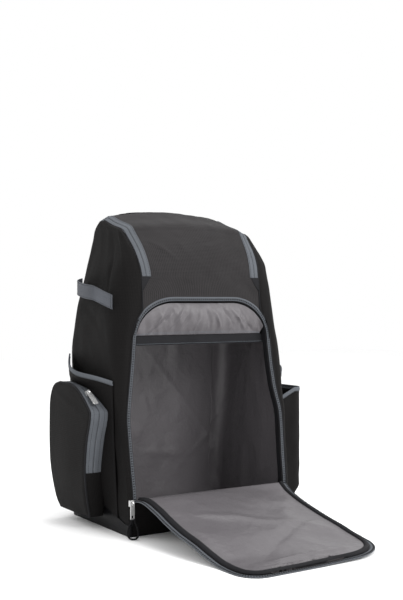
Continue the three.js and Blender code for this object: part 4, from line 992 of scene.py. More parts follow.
class BackpackSizes(bpy.types.PropertyGroup):
    """Sizes of the details that the dressing adds"""

    crease_depth: bpy.props.FloatProperty(
        name="Crease depth", description="How far the cloth's dents and creases move it", default=0.0022,
        min=0, max=0.006, unit="LENGTH",
    )
    pleat_depth: bpy.props.FloatProperty(
        name="Pleat depth", description="Depth of the gathers in the lining curtain", default=0.0032,
        min=0, max=0.008, unit="LENGTH",
    )
    stitch_pitch: bpy.props.FloatProperty(
        name="Stitch pitch", description="Distance from one stitch to the next", default=0.0036,
        min=0.002, max=0.01, unit="LENGTH",
    )
    tooth_pitch: bpy.props.FloatProperty(
        name="Tooth pitch", description="Distance from one zip tooth to the next", default=0.0028,
        min=0.0015, max=0.006, unit="LENGTH",
    )
    piping_radius: bpy.props.FloatProperty(
        name="Piping radius", description="Radius of the piping in the seams", default=0.0016,
        min=0.0005, max=0.004, unit="LENGTH",
    )
    cord_diameter: bpy.props.FloatProperty(
        name="Cord diameter", description="Diameter of the cord loop on the main pull", default=0.003,
        min=0.001, max=0.006, unit="LENGTH",
    )
    light_strength: bpy.props.FloatProperty(
        name="Light strength", description="Power of the key light in watts", default=42, min=0, max=500,
    )


def colour_property(name, description, value):
    return bpy.props.StringProperty(name=name, description=description, default=value)


class BackpackColours(bpy.types.PropertyGroup):
    """Colours of the cloths and trims, as sRGB hex values"""

    side_cloth: colour_property("Side cloth", "Colour of the woven sides", "#0e0d0d")
    ripstop: colour_property("Ripstop", "Colour of the lid and the flap", "#181617")
    coated: colour_property("Coated cloth", "Colour of the boots and the base", "#08080a")
    lining: colour_property("Lining", "Colour of the lining", "#575457")
    binding: colour_property("Binding", "Colour of the dark binding", "#171719")
    zip_tape: colour_property("Zip tape", "Colour of the zip tapes and mouth bindings", "#4b4e53")
    webbing: colour_property("Webbing", "Colour of the bat straps", "#44464b")
    black_webbing: colour_property("Black webbing", "Colour of the handle and the strap tails", "#141416")
    mesh: colour_property("Spacer mesh", "Colour of the padded back and shoulder straps", "#161719")
    coil: colour_property("Zip coil", "Colour of the zip teeth", "#141518")
    metal: colour_property("Metal", "Colour of the sliders and pulls", "#e2e2e2")
    cord: colour_property("Cord", "Colour of the cord loop", "#0e0e0f")


def sizes():
    return bpy.context.scene.backpack_sizes


def crease_mm():
    return sizes().crease_depth / MM


# Pieces


class BACKPACK_OT_stage(bpy.types.Operator):
    """Sets up the camera, the pale floor and the studio lights"""

    bl_idname = "backpack.stage"
    bl_label = "Camera and Stage"

    def execute(self, context):
        bpy.ops.object.select_all(action="DESELECT")
        turn = (math.pi / 2, 0, math.radians(CAMERA_TURN))
        bpy.ops.object.camera_add(location=CAMERA_PLACE, rotation=turn)
        camera = context.object
        camera.name = "Photograph camera"
        camera.data.lens = CAMERA_LENS
        camera.data.sensor_width = 36
        camera.data.clip_end = 60
        context.scene.camera = camera
        bpy.ops.object.select_all(action="DESELECT")
        bpy.ops.mesh.primitive_plane_add(size=9, location=(0, 0, 0))
        floor = context.object
        floor.name = "Studio floor"
        bpy.ops.object.mode_set(mode="EDIT")
        bpy.ops.mesh.select_all(action="SELECT")
        bpy.ops.mesh.subdivide(number_cuts=2)
        bpy.ops.object.mode_set(mode="OBJECT")
        tree = new_material("Seamless paper")
        place = add(tree, "ShaderNodeTexCoord").outputs["Object"]
        grain = add(tree, "ShaderNodeTexNoise", Vector=place, Scale=180.0, Detail=2.0).outputs["Fac"]
        tint = add(
            tree, "ShaderNodeMix", {"data_type": "RGBA"}, i0=grain, i6=linear("#f7f7f7"),
            i7=linear("#ffffff"),
        ).outputs[2]
        shader = add(tree, "ShaderNodeBsdfPrincipled", Base_Color=tint, Roughness=0.9)
        shader.inputs["Specular IOR Level"].default_value = 0.1
        add(tree, "ShaderNodeOutputMaterial", Surface=shader.outputs[0])
        floor.data.materials.append(bpy.data.materials["Seamless paper"])
        world = bpy.data.worlds.new("Studio")
        world.use_nodes = True
        world.node_tree.nodes["Background"].inputs["Color"].default_value = (1, 1, 1, 1)
        world.node_tree.nodes["Background"].inputs["Strength"].default_value = 1.0
        context.scene.world = world
        context.scene.view_settings.view_transform = "Standard"
        strength = sizes().light_strength
        lights = (
            ("Key light", (0.7, -2.7, 1.9), 1.2, 1.2),
            ("Fill light", (2.2, -1.2, 1.4), 0.5, 1.8),
            ("Top light", (0.3, 0.2, 2.6), 0.6, 1.4),
            ("Rim light", (-1.9, 1.6, 1.7), 0.35, 1.2),
        )
        for name, location, share, size in lights:
            bpy.ops.object.light_add(type="AREA", location=location)
            light = context.object
            light.name = name
            light.data.energy = strength * share
            light.data.size = size
            aim = Vector((0, 0, 0.28)) - Vector(location)
            light.rotation_euler = aim.to_track_quat("-Z", "Y").to_euler()
        return {"FINISHED"}


class BACKPACK_OT_pull_cord(bpy.types.Operator):
    """Makes the cord loop that hangs from the main zip's pull"""

    bl_idname = "backpack.pull_cord"
    bl_label = "Pull Cord"

    def execute(self, context):
        route = [Vector(point) for point in CORD_ROUTE]
        line = [curve_through(route, step / 90) for step in range(91)]
        curve = bpy.data.curves.new("pull_cord", "CURVE")
        curve.dimensions = "3D"
        curve.bevel_depth = sizes().cord_diameter / 2
        curve.bevel_resolution = 4
        curve.use_fill_caps = True
        spline = curve.splines.new("POLY")
        spline.points.add(len(line) - 1)
        for target, point in zip(spline.points, line):
            target.co = (*(point * MM), 1)
        cord = bpy.data.objects.new("pull_cord", curve)
        context.scene.collection.objects.link(cord)
        finish(cord, "Braided cord", ["main_pull_cord"])
        length = sum((after - before).length for before, after in zip(line, line[1:])) * MM
        return {"FINISHED"}


def side_place(side):
    dents = crease_mm()

    def place(u, v):
        _, depth = contour(u, 30)
        foot = boot_top(depth)
        up = lerp(foot, SEAM_TOP, v)
        across, depth = contour(u, up)
        point = Vector((side * across, depth, up))
        hold = ease(u, 0, 0.07) * ease(1 - u, 0, 0.06) * ease(1 - v, 0, 0.05) * ease(v, 0, 0.03)
        bulge = 0.8 * ripple((u * 3, v * 7, side), 1.0, 2) + 0.35 * ripple((u * 9, v * 16, side), 1.0, 5)
        bulge += creased(u, v, SIDE_CREASES)
        bulge += 0.4 * ridges((u * 3.4, v * 5.2, side), 6)
        return point + body_outward(point) * (dents * hold * bulge)

    return place


class BACKPACK_OT_body(bpy.types.Operator):
    """Makes the woven sides, the coated boots, the front lip and the base"""

    bl_idname = "backpack.body"
    bl_label = "Body"

    def execute(self, context):
        pitch = sizes().stitch_pitch / MM
        radius = sizes().piping_radius / MM
        marks = []
        for side, word in ((LEFT, "left"), (RIGHT, "right")):
            place = side_place(side)
            panel = sheet(f"side_cloth_{word}", 74, 112, place, body_outward, (330, 510), WALL)
            finish(panel, "Woven polyester", [f"side_panel_{word}"])

            def boot_place(u, v):
                _, depth = contour(u, 30)
                up = v * (boot_top(depth) - 0.3)
                across, depth = contour(u, up)
                point = Vector((side * across, depth, up))
                puff = 0.9 * math.sin(v * math.pi) + 0.5 * ripple((u * 12, v * 2, side), 1.0, 8)
                lift = body_outward(point) * puff * ease(u, 0, 0.04) * ease(1 - u, 0, 0.04)
                return point + lift * ease(v, 0, 0.3)

            boot = sheet(f"boot_cloth_{word}", 74, 9, boot_place, body_outward, (320, 40), WALL)
            finish(boot, "Coated polyester", [f"boot_{word}"])
            lines = (
                lambda share: (0.02 + share * 0.96, 0.012),
                lambda share: (0.02, 0.02 + share * 0.94),
                lambda share: (0.975, 0.02 + share * 0.9),
            )
            for line in lines:
                marks += marks_along(*line_on(place, body_outward, line), pitch)
            edge = [place(0.004, step / 90) for step in range(91)]
            pipe = tube(f"front_piping_{word}", [p + body_outward(p) * 0.2 for p in edge], radius * 0.8)
            finish(pipe, "Grosgrain binding")
            seam = [boot_place(step / 90, 1) for step in range(91)]
            ridge = tube(f"boot_piping_{word}", [p + body_outward(p) * 0.1 for p in seam], radius * 0.75)
            finish(ridge, "Coated polyester")
        half = arch_half(LIP_HEIGHT) - 0.3

        def lip_place(u, v):
            across = lerp(-half, half, u)
            swell = LIP_SWELL * math.sin(v * math.pi) * (1 - (across / half) ** 2)
            swell += 0.8 * ripple((u * 8, v * 2, 0), 1.0, 3) * math.sin(v * math.pi)
            up = v * LIP_TOP
            return Vector((across, section(round(up, 1))["fore"] - swell, up))

        lip = sheet("front_lip", 70, 14, lip_place, body_outward, (322, 58), WALL)
        finish(lip, "Woven polyester", ["front_lower_panel"])
        marks += marks_along(*line_on(lip_place, body_outward, lambda share: (share, 0.93)), pitch)
        stitching = bars("body_stitching", marks, pitch * 0.68, 0.7, 0.35)
        finish(stitching, "Dark thread")
        refinish("base_panel", "Coated polyester")
        return {"FINISHED"}


def back_place(u, v):
    up = lerp(0, ZIP_REAR_FOOT - WALL, v)
    across = lerp(-1, 1, u) * (section(round(up, 1))["rear"] - 1.5)
    depth = back_face(across, up)
    channel = min(abs(across) / 9, 1)
    ribs = abs(math.sin(v * math.pi * 7))
    pad = 3.2 * (ease(u, 0, 0.08) * ease(1 - u, 0, 0.08)) * ease(v, 0, 0.05) * ease(1 - v, 0, 0.05)
    return Vector((across, depth + pad * (0.25 + 0.75 * channel * ribs**0.5), up))


class BACKPACK_OT_back(bpy.types.Operator):
    """Makes the padded back with its sewn channels"""

    bl_idname = "backpack.back"
    bl_label = "Back"

    def execute(self, context):
        behind = lambda point: Vector((0, 1, 0))
        panel = sheet("back_pad", 70, 120, back_place, behind, (282, 518), BACK_PADDING)
        finish(panel, "Spacer mesh", ["back_panel"])
        pitch = sizes().stitch_pitch / MM
        marks = []
        for row in range(1, 7):
            v = row / 7
            line = line_on(back_place, behind, lambda share: (0.06 + share * 0.88, v), 120)
            marks += marks_along(*line, pitch)
        stitching = bars("back_stitching", marks, pitch * 0.68, 0.7, 0.35)
        finish(stitching, "Dark thread")
        edge = [back_place(0.002, step / 80) for step in range(81)]
        edge += [back_place(0.998, 1 - step / 80) for step in range(81)]
        radius = sizes().piping_radius / MM
        for side, word in ((slice(0, 81), "left"), (slice(81, 162), "right")):
            pipe = tube(f"back_piping_{word}", edge[side], radius)
            finish(pipe, "Grosgrain binding")
        return {"FINISHED"}


# Rows of the lid below its zip: where the cloth of the front ends and the crown starts
LID_FRONT_SHARE = 0.2


def lid_place(u, v):
    across = lerp(-1, 1, u)
    edge = SEAM_HALF - 0.3
    if v < LID_FRONT_SHARE:
        share = v / LID_FRONT_SHARE
        start = arch_rise(across * edge)
        up = lerp(start, ZIP_FOOT, share)
        half = edge - LID_TAPE * clamp((up - GARAGE_FOOT) / (ZIP_FOOT - GARAGE_FOOT))
        point = front_point(across * half, up)
    else:
        share = (v - LID_FRONT_SHARE) / (1 - LID_FRONT_SHARE)
        point = lid_row(share * LID_END, across)
    dents = crease_mm()
    hold = ease(u, 0, 0.08) * ease(1 - u, 0, 0.08) * ease(v, 0, 0.08) * ease(1 - v, 0, 0.05)
    bulge = 0.7 * ripple((u * 5, v * 6, 1), 1.0, 11) + 0.3 * ripple((u * 14, v * 15, 2), 1.0, 12)
    bulge += creased(u, v, LID_CREASES)
    bulge += 0.35 * ridges((u * 3.2, v * 3.6, 0), 13)
    return point + body_outward(point) * (dents * hold * bulge)


def lid_tape_place(side):
    def place(u, v):
        outer, inner = curve_through(OUTER_SEAM, v), curve_through(INNER_SEAM, v)
        point = outer.lerp(inner, lerp(-0.06, 1.03, u))
        groove = math.exp(-(((u - 0.5) / 0.05) ** 2))
        lifted = point + body_outward(point) * (0.7 + 0.5 * math.sin(u * math.pi) - 1.0 * groove)
        return Vector((side * lifted.x, lifted.y, lifted.z))

    return place


class BACKPACK_OT_lid(bpy.types.Operator):
    """Makes the ripstop lid, the grey zips round it and the small patches under their ends"""

    bl_idname = "backpack.lid"
    bl_label = "Lid and Lid Zip"

    def execute(self, context):
        pitch = sizes().stitch_pitch / MM
        tooth = sizes().tooth_pitch / MM
        lid = sheet("lid_cloth", 80, 130, lid_place, body_outward, (235, 330), WALL)
        finish(lid, "Ripstop polyester", ["lid_panel"])
        teeth, threads, dashes = [], [], []
        for side, word in ((LEFT, "left"), (RIGHT, "right")):
            place = lid_tape_place(side)
            tape = sheet(f"lid_zip_{word}", 28, 120, place, body_outward, (20, 290), 1.6)
            finish(tape, "Zip tape", [f"lid_zip_tape_{word}"])
            teeth += marks_along(*line_on(place, body_outward, lambda share: (0.5, share), 200), tooth)
            for column in (0.1, 0.9):
                line = line_on(place, body_outward, lambda share: (column, share), 200)
                threads += marks_along(*line, pitch)

            def garage_place(u, v):
                share = lerp(0.12, 1.0, v)
                up = lerp(GARAGE_FOOT, ZIP_FOOT, share)
                across = lerp(SEAM_HALF + 0.6, SEAM_HALF - share * LID_TAPE - 0.6, u)
                return Vector((side * across, section(round(up, 1))["fore"] - 1.2, up))

            patch = sheet(f"zip_patch_{word}", 8, 10, garage_place, body_outward, (18, 24), 1.6)
            finish(patch, "Grosgrain binding", [f"zip_garage_{word}"])
            line = line_on(garage_place, body_outward, lambda share: (0.86, share), 30)
            dashes += marks_along(*line, pitch)

        def rear_place(u, v):
            return lid_row(lerp(0.845, 1.0, v), lerp(-1, 1, u) * 1.02) + Vector((0, 0.4, 0.4))

        rear = sheet("lid_zip_back", 70, 12, rear_place, body_outward, (220, 22), 1.6)
        finish(rear, "Zip tape", ["lid_zip_tape_back"])
        teeth += marks_along(*line_on(rear_place, body_outward, lambda share: (share, 0.5), 120), tooth)
        coil = bars("lid_zip_coil", teeth, tooth * 0.62, 1.7, 0.5)
        finish(coil, "Dark nylon coil")
        patch_stitching = bars("zip_patch_stitching", dashes, pitch * 0.62, 0.9, 0.4)
        finish(patch_stitching, "Dark thread")
        stitching = bars("lid_stitching", threads, pitch * 0.68, 0.7, 0.3)
        finish(stitching, "Dark thread")
        return {"FINISHED"}


class BACKPACK_OT_opening(bpy.types.Operator):
    """Makes the thin zip round the front opening and the dark facing inside it"""

    bl_idname = "backpack.opening"
    bl_label = "Front Opening"

    def execute(self, context):
        tooth = sizes().tooth_pitch / MM

        def tape_place(u, v):
            x, z = ring_point("arch", v, lerp(-0.4, OPENING_TAPE + 0.5, u))
            point = front_point(x, z)
            return point + body_outward(point) * 0.4

        tape = sheet("opening_zip", 4, 150, tape_place, body_outward, (6.5, 980), 1.4)
        finish(tape, "Zip tape", ["opening_zip_tape"])
        line = line_on(tape_place, body_outward, lambda share: (0.62, share), 260)
        teeth = marks_along(*line, tooth * 1.5)
        coil = bars("opening_coil", teeth, tooth * 0.7, 3.2, 1.3)
        finish(coil, "Dark nylon coil")

        def facing_place(u, v):
            x, z = ring_point("arch", v, 6.6 + 0.6 * math.sin(u * math.pi) * ripple((u, v * 30, 0), 1.0, 4))
            depth = front_point(x, z).y + 1.6
            return Vector((x, depth + u * FACING_DEPTH, z))

        outwards = lambda point: Vector((point.x, 0, point.z - 230))
        facing = sheet("opening_facing_cloth", 5, 150, facing_place, outwards, (12, 980), 1.5)
        finish(facing, "Grosgrain binding", ["opening_facing"])
        return {"FINISHED"}


# Slanting wrinkles of the curtain: their middles as shares across and up, angle and strength
CURTAIN_WRINKLES = (
    ((0.14, 0.4), 80, 1.1),
    ((0.22, 0.6), 78, -0.9),
    ((0.3, 0.55), 81, 1.2),
    ((0.37, 0.5), 84, -0.8),
    ((0.45, 0.4), 87, 0.9),
    ((0.54, 0.55), 94, -0.8),
    ((0.61, 0.5), 97, 1.2),
    ((0.7, 0.6), 100, -0.9),
    ((0.79, 0.5), 102, 1.1),
    ((0.88, 0.4), 101, -0.8),
)


# The share of half the lining that lines a side; the rest spans the back to its middle
LINING_SIDE_SHARE = 0.72


def lining_point(u, up):
    """The lining inside the body: u goes from the right front edge round the back to the left."""
    side = RIGHT if u < 0.5 else LEFT
    share = 2 * u if u < 0.5 else 2 - 2 * u
    part = section(round(up, 1))
    if share < LINING_SIDE_SHARE:
        place = share / LINING_SIDE_SHARE
        across, depth = contour(place, up)
        point = Vector((side * across, depth, up))
        back = ease(place, 0.8, 0.93)
        return point - body_outward(point) * lerp(LINING_INSET, LINING_BACK_INSET, back)
    start = Vector((side * part["rear"], part["aft"], up))
    start -= body_outward(start) * LINING_BACK_INSET
    left = 1 - (share - LINING_SIDE_SHARE) / (1 - LINING_SIDE_SHARE)
    return Vector((start.x * left, start.y, up))


class BACKPACK_OT_inside(bpy.types.Operator):
    """Makes the grey lining, the floor, the shelf with its dark band and the gathered curtain"""

    bl_idname = "backpack.inside"
    bl_label = "Inside"

    def execute(self, context):
        dents = crease_mm()
        pitch = sizes().stitch_pitch / MM
        inward = lambda point: Vector((-point.x, -point.y, 0))

        def lining_place(u, v):
            up = lerp(3, SHELF_HEIGHT - 0.4, v)
            point = lining_point(u, up)
            hold = ease(u, 0, 0.02) * ease(1 - u, 0, 0.02) * ease(v, 0, 0.05) * ease(1 - v, 0, 0.04)
            fold = ripple((u * 22, v * 2.2, 0), 1.0, 21) + 0.5 * ripple((u * 50, v * 7, 0), 1.0, 22)
            fold += creased(u, v, LINING_CREASES)
            fold += 0.4 * ridges((u * 16, v * 3 + u * 2, 0), 23)
            return point - body_outward(point) * (max(dents * fold, -1.2) * hold - 1.2)

        def inner_place(u, v):
            point = lining_place(u, v)
            return point - body_outward(point) * 1.5

        lining = sheet("lining_cloth", 190, 80, inner_place, inward, (860, 315), 1.2)
        finish(lining, "Taffeta lining", ["compartment_lining"])

        def floor_place(u, v):
            depth = lerp(section(5.0)["fore"] + 6.4, section(5.0)["aft"] - LINING_BACK_INSET - 2, v)
            half = section(5.0)["half"] - LINING_INSET - 2
            return Vector((lerp(-half, half, u), depth, 4.4 + 0.8 * ripple((u * 6, v * 5, 0), 1.0, 31)))

        upward = lambda point: Vector((0, 0, 1))
        floor = sheet("compartment_base", 50, 36, floor_place, upward, (320, 214), 1.4)
        finish(floor, "Taffeta lining", ["compartment_floor"])
        refinish("shelf_panel", "Woven polyester")

        ahead = lambda point: Vector((0, -1, 0))
        half = arch_half(SHELF_HEIGHT) - OPENING_TAPE

        def band_place(u, v):
            up = SHELF_HEIGHT + v * BAND_HEIGHT
            depth = section(round(up, 1))["fore"] + 14.2 - 0.7 * math.sin(v * math.pi)
            return Vector((lerp(-half, half, u), depth, up))

        band = sheet("shelf_edge_band", 60, 6, band_place, ahead, (282, 17), 2.0)
        finish(band, "Grosgrain binding", ["shelf_band"])

        pleats = sizes().pleat_depth / MM
        foot = SHELF_HEIGHT + BAND_HEIGHT + 0.3

        def curtain_place(u, v):
            across = lerp(-1, 1, u) * CURTAIN_HALF
            up = lerp(foot, arch_rise(across, 10) - 0.3, v)
            fore = section(round(up, 1))["fore"]
            share = across / CURTAIN_HALF
            swell = CURTAIN_SWELL * math.sin(v * math.pi) * (1 - share * share)
            gather = math.sin(u * 26 * math.pi + 2.2 * ripple((u * 6, v * 0.6, 0), 1.0, 41))
            fine = ripple((u * 40, v * 2.5, 0), 1.0, 42)
            fold = 0.35 * gather * (1 - 0.6 * v) + 0.35 * fine
            fold += 0.35 * ridges((u * 15 + v * 1.4, v * 0.7, 0), 43)
            for centre, angle, size in CURTAIN_WRINKLES:
                fold += size * crease(u, v, centre, angle, 0.34, 0.012)
            depth = fore + lerp(14.2, 2, v) - swell - pleats * fold * (0.35 + 0.65 * math.sin(v * math.pi))
            return Vector((across, depth, up))

        curtain = sheet("gathered_curtain", 150, 36, curtain_place, ahead, (290, 70), 1.2)
        finish(curtain, "Taffeta lining", ["lining_curtain"])
        marks = []
        for row in (0.05, 0.09):
            marks += marks_along(*line_on(curtain_place, ahead, lambda share: (share, row), 200), pitch)
        marks += marks_along(*line_on(band_place, ahead, lambda share: (share, 0.15), 120), pitch)
        stitching = bars("inside_stitching", marks, pitch * 0.68, 0.6, 0.35)
        finish(stitching, "Grey thread")
        return {"FINISHED"}


class BACKPACK_OT_flap(bpy.types.Operator):
    """Makes the open front flap: its cloth, lining, dark binding and half of the zip"""

    bl_idname = "backpack.flap"
    bl_label = "Flap"

    def execute(self, context):
        pitch = sizes().stitch_pitch / MM
        tooth = sizes().tooth_pitch / MM
        dents = crease_mm()
        upward = lambda point: Vector((0, -0.2, 1))
        middle = len(FLAP_LINE) // 2

        def across_flap(u, v, edge, lift):
            line = inset_line("flap", edge)
            start, end = on_line(line[middle:][::-1], v), on_line(line[: middle + 1], v)
            return flap_point(lerp(start[0], end[0], u), lerp(start[1], end[1], u), lift)

        def waves(u, v):
            hold = ease(u, 0, 0.1) * ease(1 - u, 0, 0.1) * ease(v, 0, 0.06) * ease(1 - v, 0, 0.12)
            fold = 0.8 * ripple((u * 3.2, v * 4, 0), 1.0, 51) + 0.45 * ripple((u * 8, v * 10, 0), 1.0, 52)
            fold += creased(u, v, FLAP_CREASES)
            fold += 0.55 * ridges((u * 3.4 + v, v * 4.5, 0), 53) + 0.3 * ridges((u * 7 - v * 2, v * 9, 0), 54)
            return max(dents * hold * (fold + 0.3), -0.8)

        def under_place(u, v):
            return across_flap(u, v, 9, 2.5)

        def lining_place(u, v):
            return across_flap(u, v, 18, 4.9 + waves(u, v))

        under = sheet("flap_cloth", 60, 90, under_place, upward, (320, 338), 2.4)
        finish(under, "Ripstop polyester", ["flap_panel"])
        lining = sheet("flap_lining_cloth", 72, 110, lining_place, upward, (290, 330), 1.4)
        finish(lining, "Taffeta lining", ["flap_lining"])

        def binding_place(u, v):
            x, along = ring_point("flap", v, lerp(9.2, 19.2, u))
            crown = math.sin(u * math.pi) ** 0.6
            return flap_point(x, along, FLAP_COVER + 0.2 + 4.3 * crown)

        binding = sheet("flap_edge_binding", 10, 210, binding_place, upward, (10, 930), 0)
        finish(binding, "Grosgrain binding", ["flap_binding"])

        def tape_place(u, v):
            x, along = ring_point("flap", v, lerp(0.2, FLAP_TAPE + 1.2, u))
            return flap_point(x, along, 1.9 + 0.4 * math.sin(u * math.pi))

        tape = sheet("flap_zip", 6, 210, tape_place, upward, (9, 960), 1.2)
        finish(tape, "Zip tape", ["flap_zip_tape"])
        teeth = marks_along(*line_on(tape_place, upward, lambda share: (0.24, share), 300), tooth * 1.5)
        coil = bars("flap_coil", teeth, tooth * 0.7, 3.2, 1.3)
        finish(coil, "Dark nylon coil")
        marks = marks_along(*line_on(tape_place, upward, lambda share: (0.8, share), 300), pitch)
        marks += marks_along(*line_on(binding_place, upward, lambda share: (0.8, share), 300), pitch)
        stitching = bars("flap_stitching", marks, pitch * 0.68, 0.6, 0.3)
        finish(stitching, "Dark thread")
        return {"FINISHED"}


def sleeve_place(side, lows, highs, wave):
    def place(u, v):
        depth = lerp(-SLEEVE_FORE, SLEEVE_AFT, u)
        up = lerp(lows(u), highs(u), v)
        dents = wave * (ripple((u * 4, v * 4, side), 1.0, 61) + 0.5 * ripple((u * 10, v * 9, side), 1.0, 62))
        dents *= math.sin(u * math.pi) * ease(v, 0, 0.1)
        return Vector((side * (sleeve_out(side, depth, up) + dents), depth, up))

    return place


class BACKPACK_OT_sleeves(bpy.types.Operator):
    """Makes the open bat sleeves on both sides, with their grey mouth bindings"""

    bl_idname = "backpack.sleeves"
    bl_label = "Bat Sleeves"

    def execute(self, context):
        pitch = sizes().stitch_pitch / MM
        marks = []
        for side, word in ((LEFT, "left"), (RIGHT, "right")):
            aside = lambda point: Vector((point.x, 0, 0))
            wall_top = lambda share: sleeve_mouth(share) - BINDING_HEIGHT + 1
            wall_foot = lambda share: boot_top(lerp(-SLEEVE_FORE, SLEEVE_AFT, share)) + 0.3
            place = sleeve_place(side, wall_foot, wall_top, crease_mm() * 0.5)
            wall = sheet(f"sleeve_cloth_{word}", 50, 76, place, aside, (200, 265), 1.6)
            finish(wall, "Woven polyester", [f"sleeve_{word}"])
            low = lambda share: sleeve_mouth(share) - BINDING_HEIGHT
            rim = sleeve_place(side, low, sleeve_mouth, 0)

            def rim_place(u, v):
                point = rim(u, v)
                return point + Vector((side * (0.8 * math.sin(v * math.pi) + 0.3), 0, 0))

            binding = sheet(f"sleeve_mouth_{word}", 60, 6, rim_place, aside, (200, 9), 2.8)
            finish(binding, "Zip tape", [f"sleeve_{word}_binding"])
            marks += marks_along(*line_on(rim_place, aside, lambda share: (share, 0.16), 120), pitch)
            for column in (0.02, 0.98):
                marks += marks_along(*line_on(place, aside, lambda share: (column, share), 120), pitch)
        stitching = bars("sleeve_stitching", marks, pitch * 0.68, 0.6, 0.35)
        finish(stitching, "Dark thread")
        return {"FINISHED"}


def ribbon_place(path, across, width):
    """A flat band along a path; across gives its width's direction at a share of the path."""

    def place(u, v):
        point = curve_through(path, v)
        return point + across(v) * (u - 0.5) * width

    return place


class BACKPACK_OT_bat_straps(bpy.types.Operator):
    """Makes the grey webbing loops that hold a bat on each side"""

    bl_idname = "backpack.bat_straps"
    bl_label = "Bat Straps"

    def execute(self, context):
        marks = []
        for side, word in ((LEFT, "left"), (RIGHT, "right")):
            path = []
            for row in STRAP_ROUTES[side]:
                out, depth, up = row[0] * STRAP_OUT, row[1] * SLEEVE_FORE, row[2] * BAG_HEIGHT
                part = section(round(up, 1))["half"]
                low = max(section(round(up - STRAP_WIDTH / 2, 1))["half"] - part, 0)
                across = side_surface(depth, up) + low + 1.2 + out
                path.append(Vector((side * across, depth, up)))
            place = ribbon_place(path, lambda share: Vector((0, 0, 1)), STRAP_WIDTH)
            aside = lambda point: Vector((point.x, point.y * 0.2, 0))
            strap = sheet(f"bat_webbing_{word}", 8, 80, place, aside, (25, 190), 1.8, offset=0)
            finish(strap, "Grey webbing", [f"bat_strap_{word}"])
            for column in (0.08, 0.92):
                line = line_on(place, aside, lambda share: (column, share), 80, lift=0.9)
                marks += marks_along(*line, 3.4)
            for row in (0.015, 0.05, 0.95, 0.985):
                line = line_on(place, aside, lambda share: (0.1 + 0.8 * share, row), 20, lift=0.9)
                marks += marks_along(*line, 2.2)
        stitching = bars("strap_stitching", marks, 2.0, 0.6, 0.3)
        finish(stitching, "Dark thread")
        return {"FINISHED"}


def pocket_rim():
    """The pocket's rim from the side: up the front from the foot, over the top, down the back."""
    steps = 90
    front, back = [], []
    for step in range(steps + 1):
        share = 0.5 - 0.5 * math.cos(math.pi * step / steps)
        up = lerp(POCKET_FOOT, POCKET_TOP, share)
        front.append((-POCKET_FORE * pocket_column(up, "fore"), up))
        back.append((POCKET_AFT * pocket_column(up, "aft"), up))
    return front, back


